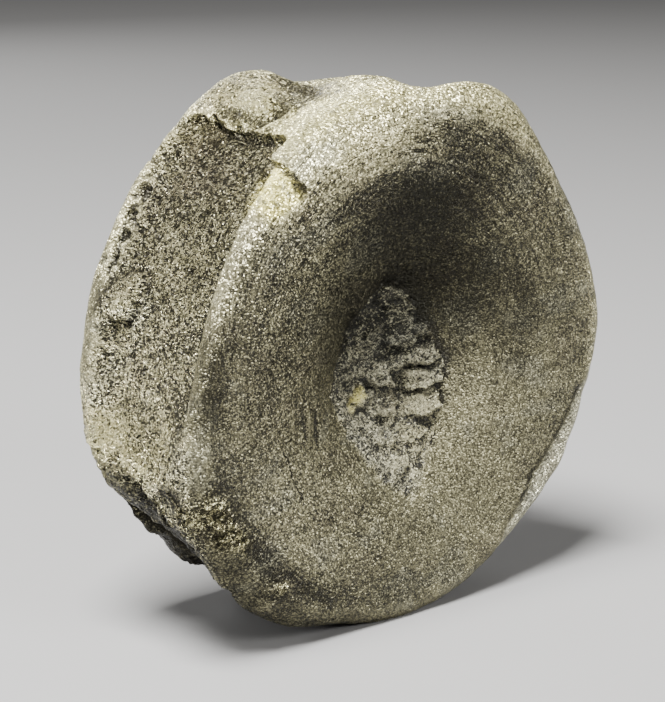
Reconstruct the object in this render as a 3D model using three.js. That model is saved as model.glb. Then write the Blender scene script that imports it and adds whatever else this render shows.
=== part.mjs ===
// Fossil ichthyosaur vertebra: one petrified centrum, standing on its rim.
//
// The bone is a thick disc whose axis lies along Y. Its two end faces are dished like those of a fish
// vertebra: the near dish opens towards -Y and still holds a plug of broken mineral in its pit, and the far
// dish opens towards +Y. The wall between them is waisted. On the -X side it carries a long trough under an
// overhanging ledge, a knob where the rib was joined, a string of small pits and a ridge at the trough's
// foot. Below the ridge the near rim swells into a thick corner plate, which ends in a crevice.
//
// Units are millimetres and +Z is up. Angles are in degrees round the disc's axis, in the X-Z plane: 0 is +X,
// 90 is straight up and 180 is -X. The origin is the middle of the bounding box at the ground.

import * as THREE from "three";
import { mergeVertices } from "three/addons/utils/BufferGeometryUtils.js";

// Driving dimensions
const RIM_RADIUS = 41.4; // of both rims, before their lobes and flats
const THICKNESS = 29; // along Y, from rim crest to rim crest
const AXIS_HEIGHT = 42; // of the disc's axis above the ground, which cuts both rims flat
const WAIST = 2.6; // how far the wall is drawn in halfway between the rims
const FACE_CELLS = 30; // grid cells across each end face
const WALL_CELLS = 24; // grid cells across the wall, from rim to rim
const ROLL_SHARE = 0.19; // share of the wall's grid that goes to each rolled rim
const DENSE_AT = 140; // angle round which the grid lines are drawn closer, on the side with the most relief
const DENSE_BY = 0.35; // how much closer they are there
const DENSE_PIT = 0.28; // how much closer the rings of an end face are in its middle

const HALF = THICKNESS / 2;
const ARC = (RIM_RADIUS * Math.PI) / 180; // length of one degree along the wall

// Lobes and flats of each rim: angle, half-width in degrees, height, and how square the lobe's flanks are
const NEAR_LOBES = [
  { at: 60, wide: 14, high: 2.2 },
  { at: 69, wide: 8, high: 0.8 },
  { at: 0, wide: 17, high: 1.6 },
  { at: 334, wide: 15, high: 0.7 },
  { at: 243, wide: 9, high: 1.9 },
  { at: 262, wide: 14, high: 1.1 },
  { at: 157, wide: 29, high: -3.9, square: 3 },
  { at: 121, wide: 8, high: 0.6 },
  { at: 195, wide: 9, high: 1.0 },
  { at: 34, wide: 9, high: -0.3 },
  { at: 280, wide: 15, high: 0.8 },
];
const FAR_LOBES = [
  { at: 112, wide: 14, high: 1.6 },
  { at: 84, wide: 8, high: -1.0 },
  { at: 150, wide: 15, high: -0.9 },
  { at: 172, wide: 9, high: -0.5 },
  { at: 190, wide: 15, high: 0.6 },
  { at: 232, wide: 12, high: -0.8 },
  { at: 50, wide: 20, high: 0.8 },
  { at: 0, wide: 24, high: 0.6 },
  { at: 268, wide: 16, high: 1.0 },
  { at: 310, wide: 22, high: 0.4 },
];
// The near rim's lower corner, in front of the crevice
const CORNER = { at: 221, wide: 20, high: 4, square: 3 };

// How far each rim is rolled over, inwards from its radius and along Y from its crest, with local changes
const NEAR_ROLL = {
  inwards: 3.6,
  along: 3.2,
  changes: [
    { at: 106, wide: 22, inwards: 4.8, along: 3 }, // broad shoulder at the top
    { at: 158, wide: 30, square: 4, inwards: -1.2, along: -2 }, // thin lip beside the trough
    { at: 330, wide: 42, inwards: -1.6, along: -1.2 }, // narrow bevel
    { at: 225, wide: 22, inwards: 2.4, along: 1.2 }, // corner plate
  ],
};
const FAR_ROLL = {
  inwards: 3.8,
  along: 3.4,
  changes: [{ at: 152, wide: 44, inwards: -1.9, along: -1.7 }],
};

// Each dish: slope of its cone, where the rim's crest begins as a share of the radius, how softly it begins,
// the depth that the pit adds in the middle, the pit's width as a share of the radius, and the pit's middle
const NEAR_DISH = { slope: 0.25, lip: 0.8, soft: 0.09, pit: 4.2, wide: 0.33, x: 1.5, z: 0 };
const FAR_DISH = { slope: 0.22, lip: 0.82, soft: 0.08, pit: 4.4, wide: 0.34, x: -1, z: 0.8 };

// The plug of broken mineral in the near dish: a leaf with a straight upper left edge, drawn out below
const PLUG = { x: 1.3, z: -5, wide: 12, up: 15.8, down: 18.2, level: 8.3, leanUp: 0.09, leanDown: 0.07 };
const PLUG_STRAIGHT = 1.08; // power of the leaf's upper left edge, where 1 is a straight line
const PLUG_BULGING = 1.4; // power of its other edges
// The deeper hollow of that dish, above and to the right of the plug: middle, half-sizes and depth
const HOLLOW = { x: 9, z: 8, wide: 8, tall: 6.5, deep: 1.5 };

// Lines across the wall. The ledge and the foot ridge give an angle at each place along Y, and the crevice a
// place along Y at each angle.
const LEDGE_ANGLE = 116.6; // the ledge's usual angle, which the grid follows
const LEDGE_LINE = [
  [-13, 121.5],
  [-10.9, 119.6],
  [-8, 117],
  [2.7, 116.8],
  [4.2, 118.4],
  [5.4, 117],
  [9.8, 117.6],
  [12, 119.8],
];
const FOOT_LINE = [
  [-13.4, 197.3],
  [-5.5, 198.3],
  [-0.1, 195.3],
  [2.9, 194.2],
  [12, 194],
];
const GROOVE_LINE = [
  [3, 228],
  [6.5, 225.5],
  [8.6, 220.5],
  [12.4, 211],
  [13.5, 204],
];
const CREVICE_LINE = [
  [196, 4],
  [198, 3],
  [205, -4.3],
  [211.2, -10.5],
  [240, -10.5],
  [262, -9],
];
const LEDGE_OVERHANG = 1.6; // degrees by which the ledge leans out over the trough
const FOOT_RIDGE = { high: 1.9, rise: 10, fall: 6 }; // height and the widths of its two flanks
const GROOVE = { deep: 2.8, wide: 2.1 };
const CREVICE = { deep: 1, wide: 1.2, past: 1.3 }; // past is its middle's distance behind the line

// The corner plate between the foot ridge and the crevice: its radius, how much lower it starts below the
// ridge, how far it takes to rise, and where it begins to end, all in millimetres
const PLATE = { radius: 44.5, step: 1.5, rise: 7, end: 14, fade: 8 };

// The trough between the ledge and the foot ridge: where it starts along Y, the angle where it ends, its
// depth, the share by which it deepens right under the ledge, and how much deeper it is towards the near lip
const TROUGH = { start: -11.6, end: 190, depth: 2, under: -0.15, slant: 0.8 };

// Swellings and hollows of the wall: angle, place along Y, height, and half-widths round and along the wall
const WALL_LUMPS = [
  { at: 105, y: 10.5, high: 1.3, round: 7.5, along: 7, square: 1.5 }, // knob of the rib joint
  { at: 111.3, y: 2.4, high: 2.1, round: 3.6, along: 4.8, square: 1.5 }, // its boss
  { at: 86.5, y: -2.5, high: 1.2, round: 5.5, along: 5.5, square: 1.3 }, // swelling on top of the disc
  { at: 91.5, y: 9.5, high: -1.5, round: 4, along: 5, square: 1.2 }, // saddle behind it
  { at: 80, y: -9, high: -0.6, round: 4, along: 3.5 },
  { at: 61, y: -8, high: 1, round: 7, along: 6 }, // shoulder above the near rim's corner
  { at: 98, y: 2, high: -1.4, round: 4, along: 7 }, // saddle between the knob and the swelling
  { at: 163.5, y: 6.5, high: 2, round: 4, along: 3.6, square: 1.4 }, // lower knob in the trough
  { at: 171.5, y: 8.5, high: 0.9, round: 4, along: 3 },
  { at: 181, y: 9.5, high: 0.8, round: 3.5, along: 2.5 },
  { at: 233, y: 9.2, high: 1.6, round: 3.5, along: 2.6, square: 1.4 }, // underside, behind the near rim
  { at: 229, y: 4, high: 0.9, round: 2.6, along: 3, square: 1.2 },
  { at: 243, y: 1, high: 1.4, round: 4, along: 4, square: 1.3 },
  { at: 251, y: 6, high: 1.1, round: 3, along: 3, square: 1.2 },
  { at: 202, y: 7, high: 2.9, round: 6.5, along: 4.5, square: 1.4 }, // slab behind the crevice
  { at: 58, y: 6, high: 2.2, round: 5.5, along: 5, square: 1.4 }, // the other side's rib knobs, more worn
  { at: 24, y: 3.5, high: 1.8, round: 4.5, along: 4.8, square: 1.4 },
  { at: 41, y: 5, high: -1.3, round: 4, along: 6, square: 1.2 },
  { at: 5, y: 4, high: -0.9, round: 7, along: 5, square: 1.2 },
  { at: 338, y: -2, high: 0.7, round: 7, along: 5, square: 1.2 },
  { at: 312, y: 4, high: -0.7, round: 7, along: 6, square: 1.2 },
];

// Small pits along the far edge of the trough: angle, place along Y and radius
const PITS = [
  [129.7, 12, 1.3],
  [134.9, 11, 1.4],
  [140.2, 10.9, 1.4],
  [145.4, 11.1, 1.4],
  [151.2, 10.8, 1.4],
  [156, 10.5, 1.2],
];
const PIT_DEPTH = 1.3; // as a share of the pit's radius

// A smooth step from 0 to 1 as value goes from one bound to the other
function ease(from, to, value) {
  const t = THREE.MathUtils.clamp((value - from) / (to - from), 0, 1);
  return t * t * (3 - 2 * t);
}

// The signed turn from one angle to another, in degrees, from -180 to 180
function turn(from, to) {
  return THREE.MathUtils.euclideanModulo(to - from + 180, 360) - 180;
}

function cosine(angle) {
  return Math.cos(THREE.MathUtils.degToRad(angle));
}
function sine(angle) {
  return Math.sin(THREE.MathUtils.degToRad(angle));
}

// A bump of height 1 round an angle
function lobe(angle, { at, wide, square = 2 }) {
  return Math.exp(-Math.pow(Math.abs(turn(at, angle)) / wide, square));
}

// A repeatable random number from 0 to 1 for each cell of a cubic grid
function cellRandom(x, y, z, seed) {
  let h = Math.imul(x, 73856093) ^ Math.imul(y, 19349663) ^ Math.imul(z, 83492791);
  h ^= Math.imul(seed, 2654435);
  h = Math.imul(h ^ (h >>> 16), 0x7feb352d);
  h = Math.imul(h ^ (h >>> 15), 0x846ca68b);
  return ((h ^ (h >>> 16)) >>> 0) / 4294967296;
}

// Smooth noise from -1 to 1 with one feature per unit of length
function noise(p, seed) {
  const cell = p.map(Math.floor);
  const blend = p.map((v, k) => {
    const f = v - cell[k];
    return f * f * f * (f * (6 * f - 15) + 10);
  });
  let sum = 0;
  for (const [dx, dy, dz] of CORNERS) {
    const share =
      (dx ? blend[0] : 1 - blend[0]) *
      (dy ? blend[1] : 1 - blend[1]) *
      (dz ? blend[2] : 1 - blend[2]);
    sum += share * cellRandom(cell[0] + dx, cell[1] + dy, cell[2] + dz, seed);
  }
  return 2 * sum - 1;
}
const CORNERS = [0, 1].flatMap((x) => [0, 1].flatMap((y) => [0, 1].map((z) => [x, y, z])));

// Three octaves of that noise, each half as large and half as strong as the one before
function ruggedness(p, seed) {
  let sum = 0;
  for (let octave = 0; octave < 3; octave++)
    sum += noise(p.map((v) => v * 2 ** octave + 17.3 * octave), seed + octave) / 2 ** octave;
  return sum / 1.75;
}

// The second number of a line's points, at a place given by their first number
function along(line, place) {
  const next = line.findIndex(([start]) => start > place);
  if (next === 0) return line[0][1];
  if (next < 0) return line[line.length - 1][1];
  const [start, first] = line[next - 1];
  const [end, second] = line[next];
  return THREE.MathUtils.mapLinear(place, start, end, first, second);
}

// The rim's radius at an angle, share 0 at the near rim and 1 at the far one. The corner is left out where
// behind is 1.
function rimRadius(angle, share, behind = 0) {
  const raised = (lobes) => lobes.reduce((sum, l) => sum + l.high * lobe(angle, l), RIM_RADIUS);
  const corner = CORNER.high * lobe(angle, CORNER) * (1 - behind);
  return THREE.MathUtils.lerp(raised(NEAR_LOBES) + corner, raised(FAR_LOBES), ease(0.1, 0.9, share));
}

// How far a rim is rolled over at an angle
function rollAt(angle, roll) {
  const { changes } = roll;
  return {
    inwards: changes.reduce((sum, change) => sum + change.inwards * lobe(angle, change), roll.inwards),
    along: changes.reduce((sum, change) => sum + change.along * lobe(angle, change), roll.along),
  };
}

// Depth of a dish at q, the share of the way from its middle to the rim's crest
function dishDepth(q, d) {
  const depth = (s) =>
    d.slope * RIM_RADIUS * d.soft * Math.log1p(Math.exp((d.lip - s) / d.soft)) +
    d.pit * Math.exp(-((s / d.wide) ** 2));
  return depth(q) - depth(1);
}

// How far a point is inside the plug: 0 outside, 1 inside
function insidePlug(x, z) {
  const upper = z > PLUG.z;
  const rise = Math.abs(z - PLUG.z);
  const dx = (x - PLUG.x - (upper ? PLUG.leanUp : PLUG.leanDown) * rise) / PLUG.wide;
  const power = upper && dx < 0 ? PLUG_STRAIGHT : PLUG_BULGING;
  const reach = (Math.abs(dx) ** power + (rise / (upper ? PLUG.up : PLUG.down)) ** power) ** (1 / power);
  return ease(1, 0.86, reach + 0.07 * ruggedness([x * 0.25, z * 0.25, 0], 5));
}

// The plug's broken surface: blocks a few millimetres across, sunk at the top and flush at the foot
function plugHeight(x, z) {
  const top = ease(-15, -6, z);
  const blocks = 1.6 * noise([x / 3.4, z / 2.6, 0], 40) + 0.8 * noise([x / 1.7, z / 1.7, 3], 41);
  return blocks * (0.3 + 0.7 * top) - top;
}

// A point of an end face: side -1 is the near one and 1 the far one, share 0 the middle and 1 the crest
function facePoint(angle, share, side) {
  const near = side < 0;
  const roll = rollAt(angle, near ? NEAR_ROLL : FAR_ROLL);
  const crest = rimRadius(angle, near ? 0 : 1) - roll.inwards;
  const across = share * crest * cosine(angle);
  const up = share * crest * sine(angle);
  const dish = near ? NEAR_DISH : FAR_DISH;
  const centred = 1 - share ** 2; // the pit's middle is off the axis, but the crest isn't
  let depth = dishDepth(Math.hypot(across - dish.x * centred, up - dish.z * centred) / crest, dish);
  if (near) {
    const plug = insidePlug(across, up);
    const broken = Math.min(depth, PLUG.level) - plugHeight(across, up);
    const beside = Math.hypot((across - HOLLOW.x) / HOLLOW.wide, (up - HOLLOW.z) / HOLLOW.tall);
    depth = THREE.MathUtils.lerp(depth + HOLLOW.deep * Math.exp(-(beside ** 2)), broken, plug);
  }
  depth += 0.5 * ruggedness([across * 0.06, up * 0.06, near ? 0 : 5], near ? 3 : 4) * ease(1, 0.8, share);
  return new THREE.Vector3(across, side * (HALF - depth), up);
}

// How far a point of the wall is inside the trough: 0 outside, 1 on its floor
function insideTrough(angle, y) {
  const under = ease(0, 1.4, angle - along(LEDGE_LINE, y));
  const aboveFoot = 1 - ease(TROUGH.end - 14, TROUGH.end + 12, angle);
  const lip = TROUGH.start + 3 * lobe(angle, { at: 200, wide: 9 }) + lobe(angle, { at: 127, wide: 6 });
  const behindLip = ease(0, 1.5, y - lip);
  const edge = 13.8 - 3.2 * ease(125, 150, angle);
  const beforeFarRim = 1 - ease(edge - 3.5, edge, y);
  return under * aboveFoot * behindLip * beforeFarRim;
}

// Distance past a line that runs along the wall, positive towards greater angles
function pastLine(line, angle, y) {
  return turn(along(line, y), angle) * ARC;
}

// A ridge of height 1 with a long rise before its line and a sudden drop past it
function crest(past, { rise, fall }) {
  const { clamp } = THREE.MathUtils;
  return past < 0 ? clamp(1 + past / rise, 0, 1) ** 2 : clamp(1 - past / fall, 0, 1) ** 1.5;
}

// A swelling of height 1 on the wall, flat-topped where square is above 1
function swelling(angle, y, { at, y: middle, round, along, square = 1 }) {
  const reach = Math.hypot((turn(at, angle) * ARC) / round, (y - middle) / along);
  return Math.exp(-Math.pow(reach, 2 * square));
}

// Height of the wall's relief over the smooth drum between the rims
function wallRelief(angle, y) {
  const waist = Math.max(0, 1 - (y / 13) ** 2) ** 1.5;
  const full =
    (1 - 0.95 * lobe(angle, { at: 90, wide: 16 })) *
    (1 - 0.8 * lobe(angle, { at: 225, wide: 14 })) *
    (1 - 0.75 * lobe(angle, { at: 155, wide: 30, square: 4 }));
  let height = -WAIST * waist * full;
  for (const lump of WALL_LUMPS) height += lump.high * swelling(angle, y, lump);
  const trough = insideTrough(angle, y);
  const underLedge = TROUGH.under * lobe(angle, { at: 121, wide: 5 });
  height -= TROUGH.depth * trough * (1 + underLedge) + TROUGH.slant * trough * ease(2, -12, y);
  for (const [at, middle, radius] of PITS) {
    const pit = { at, y: middle, round: radius, along: radius, square: 1.4 };
    height -= PIT_DEPTH * radius * swelling(angle, y, pit);
  }
  height += FOOT_RIDGE.high * crest(pastLine(FOOT_LINE, angle, y), FOOT_RIDGE) * ease(14.5, 9, Math.abs(y));
  const groove = Math.exp(-((pastLine(GROOVE_LINE, angle, y) / GROOVE.wide) ** 2));
  height -= GROOVE.deep * groove * ease(2, 6.5, y);
  return height;
}

// A point of the wall, share 0 on the near rim's crest and 1 on the far one's. The grid bends to follow the
// ledge.
function wallPoint(even, share) {
  const follow = lobe(even, { at: LEDGE_ANGLE, wide: 9 }) * ease(0, 0.15, share) * ease(1, 0.85, share);
  const angle = even + follow * (along(LEDGE_LINE, (share - 0.5) * THICKNESS) - LEDGE_ANGLE);
  const near = rollAt(angle, NEAR_ROLL);
  const far = rollAt(angle, FAR_ROLL);
  const nearTurn = (Math.min(share / ROLL_SHARE, 1) * Math.PI) / 2;
  const farTurn = (Math.min((1 - share) / ROLL_SHARE, 1) * Math.PI) / 2;
  const between = THREE.MathUtils.clamp((share - ROLL_SHARE) / (1 - 2 * ROLL_SHARE), 0, 1);
  const y =
    THREE.MathUtils.lerp(-HALF + near.along, HALF - far.along, between) -
    near.along * Math.cos(nearTurn) +
    far.along * Math.cos(farTurn);
  const rolled = near.inwards * (1 - Math.sin(nearTurn)) + far.inwards * (1 - Math.sin(farTurn));
  const pastCrevice = y - along(CREVICE_LINE, angle);
  const behind = ease(-0.4, 1.6, pastCrevice);
  const drum = rimRadius(angle, (y + HALF) / THICKNESS, behind) - rolled;
  const kept = Math.sin(nearTurn) * Math.sin(farTurn); // the relief dies away at both crests
  const pastFoot = pastLine(FOOT_LINE, angle, y);
  const plated = ease(0, 1.5, pastFoot) * ease(PLATE.end + PLATE.fade, PLATE.end, pastFoot);
  const plate = plated * (1 - behind) * ease(-12.8, -9.5, y);
  const plateRadius = PLATE.radius - PLATE.step * ease(PLATE.rise, 0, pastFoot);
  const relieved = THREE.MathUtils.lerp(drum + kept * wallRelief(angle, y), plateRadius, 0.9 * plate);
  const across = Math.exp(-(((pastCrevice - CREVICE.past) / CREVICE.wide) ** 2));
  const radius = relieved - CREVICE.deep * across * lobe(angle, { ...CORNER, square: 6 });
  const lean = LEDGE_OVERHANG * lobe(angle, { at: along(LEDGE_LINE, y) + 0.3, wide: 1.6 });
  const leaning = angle + lean * kept * ease(-11, -8, y) * ease(14, 11, y);
  const spot = [cosine(leaning) * radius, y, sine(leaning) * radius].map((length) => length * 0.16);
  const rough = 0.35 * ruggedness(spot, 7);
  const worn = radius + kept * rough;
  return new THREE.Vector3(worn * cosine(leaning), y, worn * sine(leaning));
}

// Turns a point of the square from -1 to 1 into an angle and a share of the radius, without pinching the grid
function squareToDisc(a, b) {
  if (a === 0 && b === 0) return { angle: 0, share: 0 };
  const wide = Math.abs(a) >= Math.abs(b);
  const share = Math.abs(wide ? a : b);
  const quarter = wide ? (45 * b) / a : 90 - (45 * a) / b;
  const angle = THREE.MathUtils.euclideanModulo((wide ? a : b) < 0 ? quarter + 180 : quarter, 360);
  return { angle, share };
}

// The closed skin of the bone: a box grid whose ends become the dishes and whose sides become the wall
function boneGeometry() {
  const box = new THREE.BoxGeometry(2, 2, 2, FACE_CELLS, WALL_CELLS, FACE_CELLS);
  box.deleteAttribute("normal");
  box.deleteAttribute("uv");
  const skin = mergeVertices(box);
  const position = skin.getAttribute("position");
  const corner = new THREE.Vector3();
  for (let i = 0; i < position.count; i++) {
    corner.fromBufferAttribute(position, i);
    const { angle: even, share } = squareToDisc(corner.x, corner.z);
    const drawn = even - THREE.MathUtils.radToDeg(DENSE_BY * sine(even - DENSE_AT));
    const angle = THREE.MathUtils.euclideanModulo(drawn, 360);
    const onFace = Math.abs(corner.y) === 1;
    const closer = share * (1 - DENSE_PIT + DENSE_PIT * share);
    const point = onFace ? facePoint(angle, closer, corner.y) : wallPoint(angle, (corner.y + 1) / 2);
    point.z = Math.max(point.z, -AXIS_HEIGHT); // the ground cuts both rims flat
    position.setXYZ(i, point.x, point.y, point.z);
  }
  skin.computeBoundingBox();
  const middle = skin.boundingBox.getCenter(new THREE.Vector3());
  skin.translate(-middle.x, -middle.y, -skin.boundingBox.min.z);
  skin.computeVertexNormals();
  return skin;
}

function centrum() {
  const pyritisedBone = new THREE.MeshStandardMaterial({
    color: 0x8a8474,
    roughness: 0.42,
    metalness: 0.55,
  });
  const mesh = new THREE.Mesh(boneGeometry(), pyritisedBone);
  mesh.name = "centrum";
  return mesh;
}

const vertebra = new THREE.Group();
vertebra.add(centrum());

export default vertebra;
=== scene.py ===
# %% [markdown]
# # A fossil ichthyosaur vertebra, standing on its rim
#
# The object is one bone: a centrum, the drum-shaped body of a vertebra, turned to mineral. Each end is a
# dish, like the end of a fish vertebra, and the wall between them is drawn in at the waist. One side carries
# a long trough under an overhanging ledge, a knob where a rib was joined, small pits and a ridge.
#
# A sculptor would start from a drum and push clay about. Here every push is a formula: the skin is one grid
# of points, each point is worked out from an angle and a distance, and each feature of the bone is a bump, a
# step or a noise added to that. All shape work is in millimetres, because the features are millimetres big.
# Angles are in degrees round the disc's axis: 0 is +X, 90 is straight up and 180 is -X.

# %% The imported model, and the size it had before any looks were added
import bpy
import numpy as np
from types import SimpleNamespace
from mathutils import Matrix, Vector


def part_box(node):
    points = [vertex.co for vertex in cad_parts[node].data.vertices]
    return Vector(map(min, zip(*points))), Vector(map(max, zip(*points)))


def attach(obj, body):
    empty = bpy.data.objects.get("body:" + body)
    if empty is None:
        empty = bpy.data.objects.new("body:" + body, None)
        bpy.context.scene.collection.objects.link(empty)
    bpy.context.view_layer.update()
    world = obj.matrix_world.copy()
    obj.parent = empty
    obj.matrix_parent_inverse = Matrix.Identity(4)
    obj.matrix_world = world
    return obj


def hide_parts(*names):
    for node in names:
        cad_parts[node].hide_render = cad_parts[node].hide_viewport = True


MM = 0.001  # a millimetre, in metres
PER_METRE = 1000.0

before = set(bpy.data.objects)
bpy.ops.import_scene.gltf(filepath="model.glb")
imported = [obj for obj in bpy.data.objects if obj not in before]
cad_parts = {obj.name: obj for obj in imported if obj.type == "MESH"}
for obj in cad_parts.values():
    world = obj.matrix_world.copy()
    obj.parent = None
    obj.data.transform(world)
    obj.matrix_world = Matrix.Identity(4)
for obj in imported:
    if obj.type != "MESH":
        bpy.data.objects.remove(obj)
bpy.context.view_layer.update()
low, high = (np.array(corner) * PER_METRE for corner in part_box("centrum"))
print("packed centrum, mm:", np.round(high - low, 1))

# %% [markdown]
# ## Camera
#
# The camera stands to the left of the disc's axis and a little above it, close enough for the near rim to
# loom. A long lens from close by keeps that perspective. The camera is placed by two angles, a distance and a
# small sideways shift of its aim, all measured from the middle of the disc.

# %% Camera
AXIS_HEIGHT = 42.0  # of the disc's axis above the ground, mm
AXIS_ASIDE = -0.08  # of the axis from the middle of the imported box, along X, mm
CAMERA_AZIMUTH = -39.6
CAMERA_ELEVATION = 14.0
CAMERA_DISTANCE = 340.0
CAMERA_SLIDE = (-2.34, -1.43)  # to its own right and up, mm
CAMERA_LENS = 110.6
CAMERA_SENSOR = 36.0
CAMERA_SEES_FROM = 0.01  # metres


def look_matrix(place, right, up, back):
    """The matrix whose columns are a camera's or lamp's right, up and backward directions and its place."""
    matrix = np.eye(4)
    matrix[:3] = np.stack([right, up, back, place], axis=1)
    return Matrix(matrix.tolist())


def view_axes(azimuth, elevation):
    """Right, up and backward unit vectors of something that looks at the object from these angles."""
    a, e = np.radians([azimuth, elevation])
    back = np.array([np.sin(a) * np.cos(e), -np.cos(a) * np.cos(e), np.sin(e)])
    right = np.array([np.cos(a), np.sin(a), 0.0])
    return right, np.cross(back, right), back


def put_in_scene(name, data):
    """A new object in the scene that shows this mesh, camera or lamp."""
    thing = bpy.data.objects.new(name, data)
    bpy.context.scene.collection.objects.link(thing)
    return thing


disc_axis = np.array([(low[0] + high[0]) / 2 + AXIS_ASIDE, (low[1] + high[1]) / 2, AXIS_HEIGHT])
right, up, back = view_axes(CAMERA_AZIMUTH, CAMERA_ELEVATION)
camera_place = disc_axis + CAMERA_DISTANCE * back + CAMERA_SLIDE[0] * right + CAMERA_SLIDE[1] * up
camera_data = bpy.data.cameras.new("camera")
camera_data.lens = CAMERA_LENS
camera_data.sensor_width = CAMERA_SENSOR
camera_data.clip_start = CAMERA_SEES_FROM
camera = put_in_scene("camera", camera_data)
camera.matrix_world = look_matrix(camera_place * MM, right, up, back)
bpy.context.scene.camera = camera
print("camera at, mm:", np.round(camera_place))

# %% [markdown]
# ## Numbers that the shape is made of
#
# Four small tools carry the whole shape. `ease` is a smooth step, for edges. `lobe` is a bump round an angle,
# for what sits on the rim. `noise` is smooth random relief and `cells` splits space into random blocks, for
# broken mineral. Blender has noise of its own, but only one point at a time. These work on whole arrays, so
# a hundred thousand points take a moment. The random numbers come from the cell's own place, so every run is
# the same.

# %% Steps, bumps and noise on whole arrays
def ease(start, end, value):
    """A smooth step: 0 before start, 1 past end, level at both. start may be above end."""
    t = np.clip((value - start) / (end - start), 0.0, 1.0)
    return t * t * (3.0 - 2.0 * t)


def mix(a, b, share):
    """a where share is 0 and b where it is 1."""
    return a + (b - a) * share


def turn(start, end):
    """The signed turn between two angles, from -180 to 180."""
    return (end - start + 180.0) % 360.0 - 180.0


def lobe(angle, at, wide, square=2.0):
    """A bump of height 1 round an angle: exp(-(turn / wide) ** square)."""
    return np.exp(-np.abs(turn(at, angle) / wide) ** square)


def cell_random(cell, seed):
    """A repeatable random number from 0 to 1 for each whole-number cell, by mixing its three numbers."""
    h = (cell[..., 0] * 73856093) ^ (cell[..., 1] * 19349663) ^ (cell[..., 2] * 83492791) ^ (seed * 2654435)
    h = (h & 0xFFFFFFFF).astype(np.uint32)
    h = (h ^ (h >> np.uint32(16))) * np.uint32(0x7FEB352D)
    h = (h ^ (h >> np.uint32(15))) * np.uint32(0x846CA68B)
    return (h ^ (h >> np.uint32(16))) / 4294967296.0


CORNERS = [(x, y, z) for x in (0, 1) for y in (0, 1) for z in (0, 1)]
NEIGHBOURS = [(x, y, z) for x in (-1, 0, 1) for y in (-1, 0, 1) for z in (-1, 0, 1)]


def noise(p, seed):
    """Smooth noise from -1 to 1, one feature per unit: the corners' random numbers, blended over the cell."""
    cell = np.floor(p).astype(np.int64)
    f = p - cell
    f = f * f * f * (f * (6.0 * f - 15.0) + 10.0)
    total = 0.0
    for corner in CORNERS:
        share = np.prod(np.where(np.array(corner, bool), f, 1.0 - f), axis=-1)
        total = total + share * cell_random(cell + np.array(corner), seed)
    return 2.0 * total - 1.0


def ruggedness(p, seed, octaves=3):
    """Noise on noise: each octave is half the size and half the strength of the one before."""
    strengths = 0.5 ** np.arange(octaves)
    layers = [s * noise(p * 2.0**k + 17.3 * k, seed + k) for k, s in enumerate(strengths)]
    return sum(layers) / strengths.sum()


def cells(p, seed):
    """Random blocks: distance to the nearest and next seed, the block's number, and the way to its seed."""
    home = np.floor(p).astype(np.int64)
    nearest = np.full(p.shape[:-1], 9.0)
    second = nearest.copy()
    number = np.zeros_like(nearest)
    away = np.zeros_like(p)
    for neighbour in NEIGHBOURS:
        cell = home + np.array(neighbour)
        jitter = np.stack([cell_random(cell, seed + k) for k in (11, 12, 13)], axis=-1)
        offset = cell + jitter - p
        distance = np.linalg.norm(offset, axis=-1)
        closer = distance < nearest
        second = np.where(closer, nearest, np.minimum(second, distance))
        number = np.where(closer, cell_random(cell, seed + 14), number)
        away = np.where(closer[..., None], offset, away)
        nearest = np.minimum(nearest, distance)
    return nearest, second, number, away


def flat(x, z, depth=0.0):
    """Points of a plane, for noise that needs three numbers."""
    return np.stack([x, z, np.full_like(x, depth)], axis=-1)


three_places = np.array([[0.5, 0, 0], [1.5, 0, 0], [2.5, 0, 0]])
print("noise at three places:", np.round(ruggedness(three_places, 1), 2))

# %% [markdown]
# ## The two rims
#
# Seen along its axis the bone isn't round: it has corners at the top right and lower left, a long flat on the
# left and a flat foot. So a rim is a circle plus a list of lobes, each at an angle of its own. Between the
# rims the outline passes smoothly from one to the other. Each rim is then rolled over into its dish by a
# quarter of an ellipse: broad as a shoulder at the top, thin as a lip beside the trough.

# %% Outline and rolled edges of the rims
RIM_RADIUS = 41.4
THICKNESS = 29.0
HALF = THICKNESS / 2
ARC = np.radians(RIM_RADIUS)  # length of one degree along the wall

# angle, half-width in degrees, height, and how square the lobe's flanks are
NEAR_LOBES = [
    (60, 14, 2.2, 2), (69, 8, 0.8, 2), (0, 17, 1.6, 2), (334, 15, 0.7, 2), (243, 9, 1.9, 2),
    (262, 14, 1.1, 2), (157, 29, -3.9, 3), (121, 8, 0.6, 2), (195, 9, 1.0, 2), (34, 9, -0.3, 2),
    (280, 15, 0.8, 2),
]
FAR_LOBES = [
    (112, 14, 1.6, 2), (84, 8, -1.0, 2), (150, 15, -0.9, 2), (172, 9, -0.5, 2), (190, 15, 0.6, 2),
    (232, 12, -0.8, 2), (50, 20, 0.8, 2), (0, 24, 0.6, 2), (268, 16, 1.0, 2), (310, 22, 0.4, 2),
]
CORNER = [(221, 20, 4.0, 3)]  # the near rim's lower corner, a thick plate that ends in a crevice

# how far each rim is rolled, inwards from its radius and along Y from its crest, and what changes that:
# angle, half-width, squareness, more inwards, more along
NEAR_ROLL = {"inwards": 3.6, "along": 3.2, "changes": [
    (106, 22, 2, 4.8, 3.0),  # the shoulder
    (158, 30, 4, -1.2, -2.0),  # the lip beside the trough
    (330, 42, 2, -1.6, -1.2),
    (225, 22, 2, 2.4, 1.2),
]}
FAR_ROLL = {"inwards": 3.8, "along": 3.4, "changes": [(152, 44, 2, -1.9, -1.7)]}


def with_lobes(radius, angle, lobes):
    """A radius with every lobe of a list added."""
    return radius + sum(high * lobe(angle, at, wide, square) for at, wide, high, square in lobes)


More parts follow.
